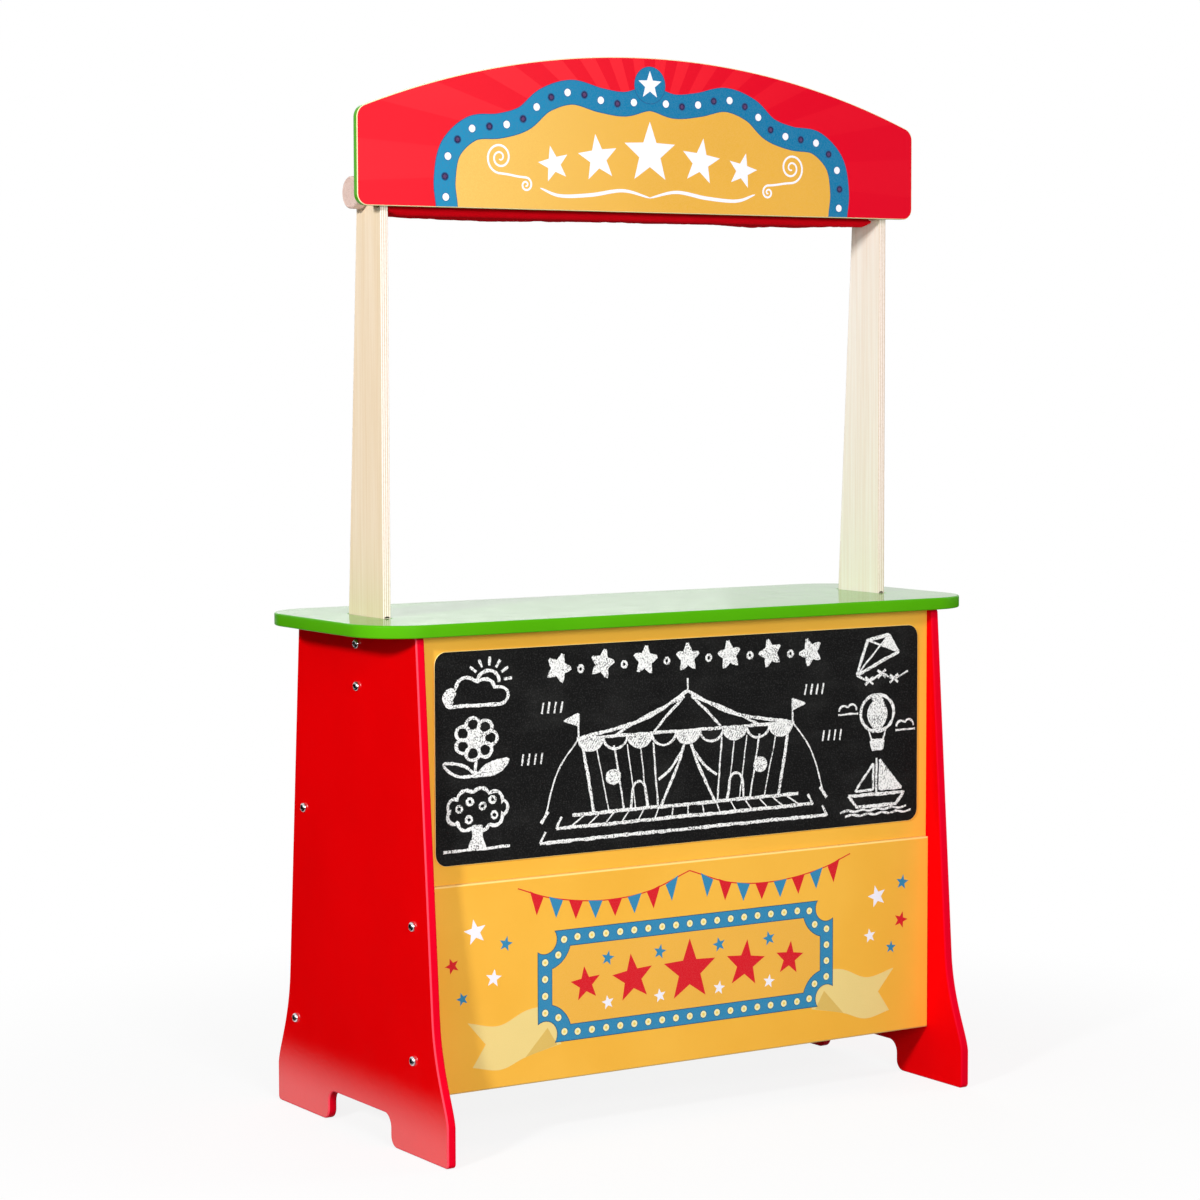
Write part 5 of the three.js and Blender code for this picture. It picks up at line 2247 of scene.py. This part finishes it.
    def hem(self) -> None:
        """Sews the hem round its bar, flat at both ends and drawn in by its stitches."""
        low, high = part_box("curtain_hem")
        middle, half, radius = (low + high) / 2, high.x, (high.z - low.z) / 2
        bm = bmesh.new()
        bmesh.ops.create_cone(
            bm, cap_ends=True, segments=self.hem_sides, radius1=radius, radius2=radius,
            depth=2 * half, matrix=Matrix.Rotation(math.pi / 2, 4, "Y"),
        )
        long_edges = [e for e in bm.edges if abs(e.verts[0].co.x - e.verts[1].co.x) > half]
        bmesh.ops.subdivide_edges(bm, edges=long_edges, cuts=self.hem_cuts, use_grid_fill=False)
        for vert in bm.verts:
            taper = min(1.0, (half - abs(vert.co.x)) / self.hem_taper + 0.3) ** 0.6
            vert.co.z = radius - (radius - vert.co.z) * taper
            pucker = self.stitch * (1 + math.sin(vert.co.x * 210))
            vert.co.z -= pucker * max(0.0, vert.co.z / radius)
            vert.co.y *= 1 - 0.03 * (1 + noise.noise(vert.co * 60))
        mark_cloth(bm, {v: (v.co.x, math.atan2(v.co.z, v.co.y) * radius) for v in bm.verts})
        bmesh.ops.translate(bm, verts=bm.verts, vec=Vector((0, middle.y, middle.z)))
        piece = settle(bm, "curtain_hem_tube", [VELVET], 50.0)
        deliver(piece, "curtain_end", ["curtain_hem"])
        first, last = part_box("hem_bar")
        rod, length = (last.z - first.z) / 2 * self.bar_share, last.x - first.x - 2 * self.bar_inset
        start = Vector((first.x + self.bar_inset, middle.y, middle.z))
        profile = [(0, 0), (rod, 0), (rod, length), (0, length)]
        bar = Turned("hem_bar_rod", profile, start, EAST, BEECH, self.bar_steps)
        bar.spin("hem_bar", "curtain_end")

    def build(self) -> None:
        """Makes the three parts of the curtain."""
        self.wind()
        self.hang()
        self.hem()


# ---- the studio


def looks(tree: Tree) -> list[Wire]:
    """Returns whether a ray comes from the camera, and whether it comes from gloss."""
    return [tree.node("LightPath", output=f"Is {kind} Ray") for kind in ("Camera", "Glossy")]


@dataclass(frozen=True)
class PaleFloor(Finish):
    """A floor that looks white, keeps the stand's shadow and shows in gloss close to the stand."""

    bounced: float = 0.35
    seen: float = 0.92
    glow: float = 0.86
    fade: Point = (0.5, 1.1)
    mirrored: Point = (0.37, 0.51)

    def mix(self, paint: Paint) -> None:
        """Mixes the plain floor with the glow that the camera and gloss see.

        Args:
            paint: The paint to mix it into.
        """
        rays, gloss = looks(paint)
        share = rays * 0.98 + paint.noise(60.0, 3) * 0.02
        albedo = paint.mixed(share, (self.bounced,) * 3, (self.seen,) * 3)
        albedo = paint.mixed(gloss, albedo, BLACK)
        paint.set(base_color=albedo, roughness=1.0, specular_ior_level=0.0)
        away = paint.node("VectorMath", {"operation": "LENGTH"}, {0: paint.place}, "Value")
        glow = self.glow + away.step(*self.fade) * (1 - self.glow)
        close = 1 - paint.axis("X").size().step(*self.mirrored)
        light = paint.node("Emission", sockets={"Color": WHITE})
        plain = Wire(paint, paint.shader.outputs[0])
        sockets = {0: rays * glow + gloss * close, 1: plain, 2: light}
        paint.show(paint.node("MixShader", sockets=sockets))


@dataclass
class Studio:
    """The camera of the photograph, a pale floor, soft lamps and a white surround."""

    camera_place: tuple[float, float, float] = (-1.94516, -2.98634, 0.82394)
    azimuth: float = -32.633
    pitch: float = 4.286
    roll: float = -0.139
    focal: float = 96.34
    sensor: float = 36.0
    sight: float = 100.0
    floor_size: float = 40.0
    floor_gap: float = 0.0004
    fill: float = 0.14
    aim: tuple[float, float, float] = (0.0, 0.0, 0.6)
    lamps: Sequence[tuple[str, tuple[float, float, float], Point, float]] = (
        ("key", (-0.7, -2.7, 1.2), (0.8, 1.0), 46.0),
        ("left_key", (-3.2, -1.5, 1.85), (0.3, 0.4), 96.0),
        ("right_fill", (3.0, -0.9, 1.5), (1.4, 2.0), 26.0),
        ("back", (1.2, 2.8, 1.7), (1.6, 1.6), 22.0),
        ("top", (0.0, 0.2, 3.2), (2.4, 2.4), 14.0),
    )

    def shoot(self) -> None:
        """Places the camera."""
        turn, dip, lean = (math.radians(v) for v in (-self.azimuth, self.pitch, self.roll))
        level = math.cos(dip)
        way = Vector((math.sin(turn) * level, math.cos(turn) * level, -math.sin(dip)))
        right = way.cross(Vector((0, 0, 1))).normalized()
        across = right * math.cos(lean) + right.cross(way) * math.sin(lean)
        place = Matrix((across, across.cross(way), -way)).transposed().to_4x4()
        place.translation = self.camera_place
        lens = bpy.data.cameras.new("camera")
        lens.lens, lens.sensor_width, lens.clip_end = self.focal, self.sensor, self.sight
        camera = add_object("camera", lens)
        camera.matrix_world = place
        bpy.context.scene.camera = camera

    def lamp(self, name: str, place: Vector, size: Point, power: float) -> None:
        """Hangs a soft rectangular lamp that points at the stand.

        Args:
            name: Its name.
            place: Where it hangs.
            size: Its width and height.
            power: Its power in watts.
        """
        data = bpy.data.lights.new(name, "AREA")
        data.shape, data.energy = "RECTANGLE", power
        data.size, data.size_y = size
        light = add_object(name, data)
        light.location = place
        light.rotation_mode = "QUATERNION"
        light.rotation_quaternion = (Vector(self.aim) - place).to_track_quat("-Z", "Y")

    def surround(self) -> None:
        """Makes the world: soft light for the stand, plain white for what looks at it."""
        world = bpy.data.worlds.new("surround")
        bpy.context.scene.world = world
        sky = Tree(world)
        camera, glossy = looks(sky)
        soft = sky.node("Background", sockets={"Color": WHITE, "Strength": self.fill})
        white = sky.node("Background", sockets={"Color": WHITE, "Strength": 1.0})
        sky.show(sky.node("MixShader", sockets={0: camera + glossy, 1: soft, 2: white}))

    def floor(self) -> None:
        """Lays the floor."""
        bm = bmesh.new()
        bmesh.ops.create_grid(bm, x_segments=1, y_segments=1, size=self.floor_size / 2)
        bmesh.ops.translate(bm, verts=bm.verts, vec=(0, 0, -self.floor_gap))
        settle(bm, "floor", [PaleFloor("pale_floor", "")])

    def build(self) -> None:
        """Sets everything up."""
        self.shoot()
        self.surround()
        self.floor()
        for name, place, size, power in self.lamps:
            self.lamp(name, Vector(place), size, power)
        bpy.context.scene.view_settings.view_transform = "Standard"


def main() -> None:
    """Builds the studio and every sub-assembly."""
    logging.basicConfig(level=logging.INFO, format="%(name)s %(message)s")
    assemblies = (
        Studio(), SidePanels(), Counter(), Posts(), Sign(), SignPrint(), FrontPanels(),
        PanelPrint(), ChalkDrawing(), Fixings(), Carcass(), Roller(), Curtain(),
    )
    for assembly in assemblies:
        log.info("building %s", type(assembly).__name__)
        assembly.build()


if __name__ == "__main__":
    main()
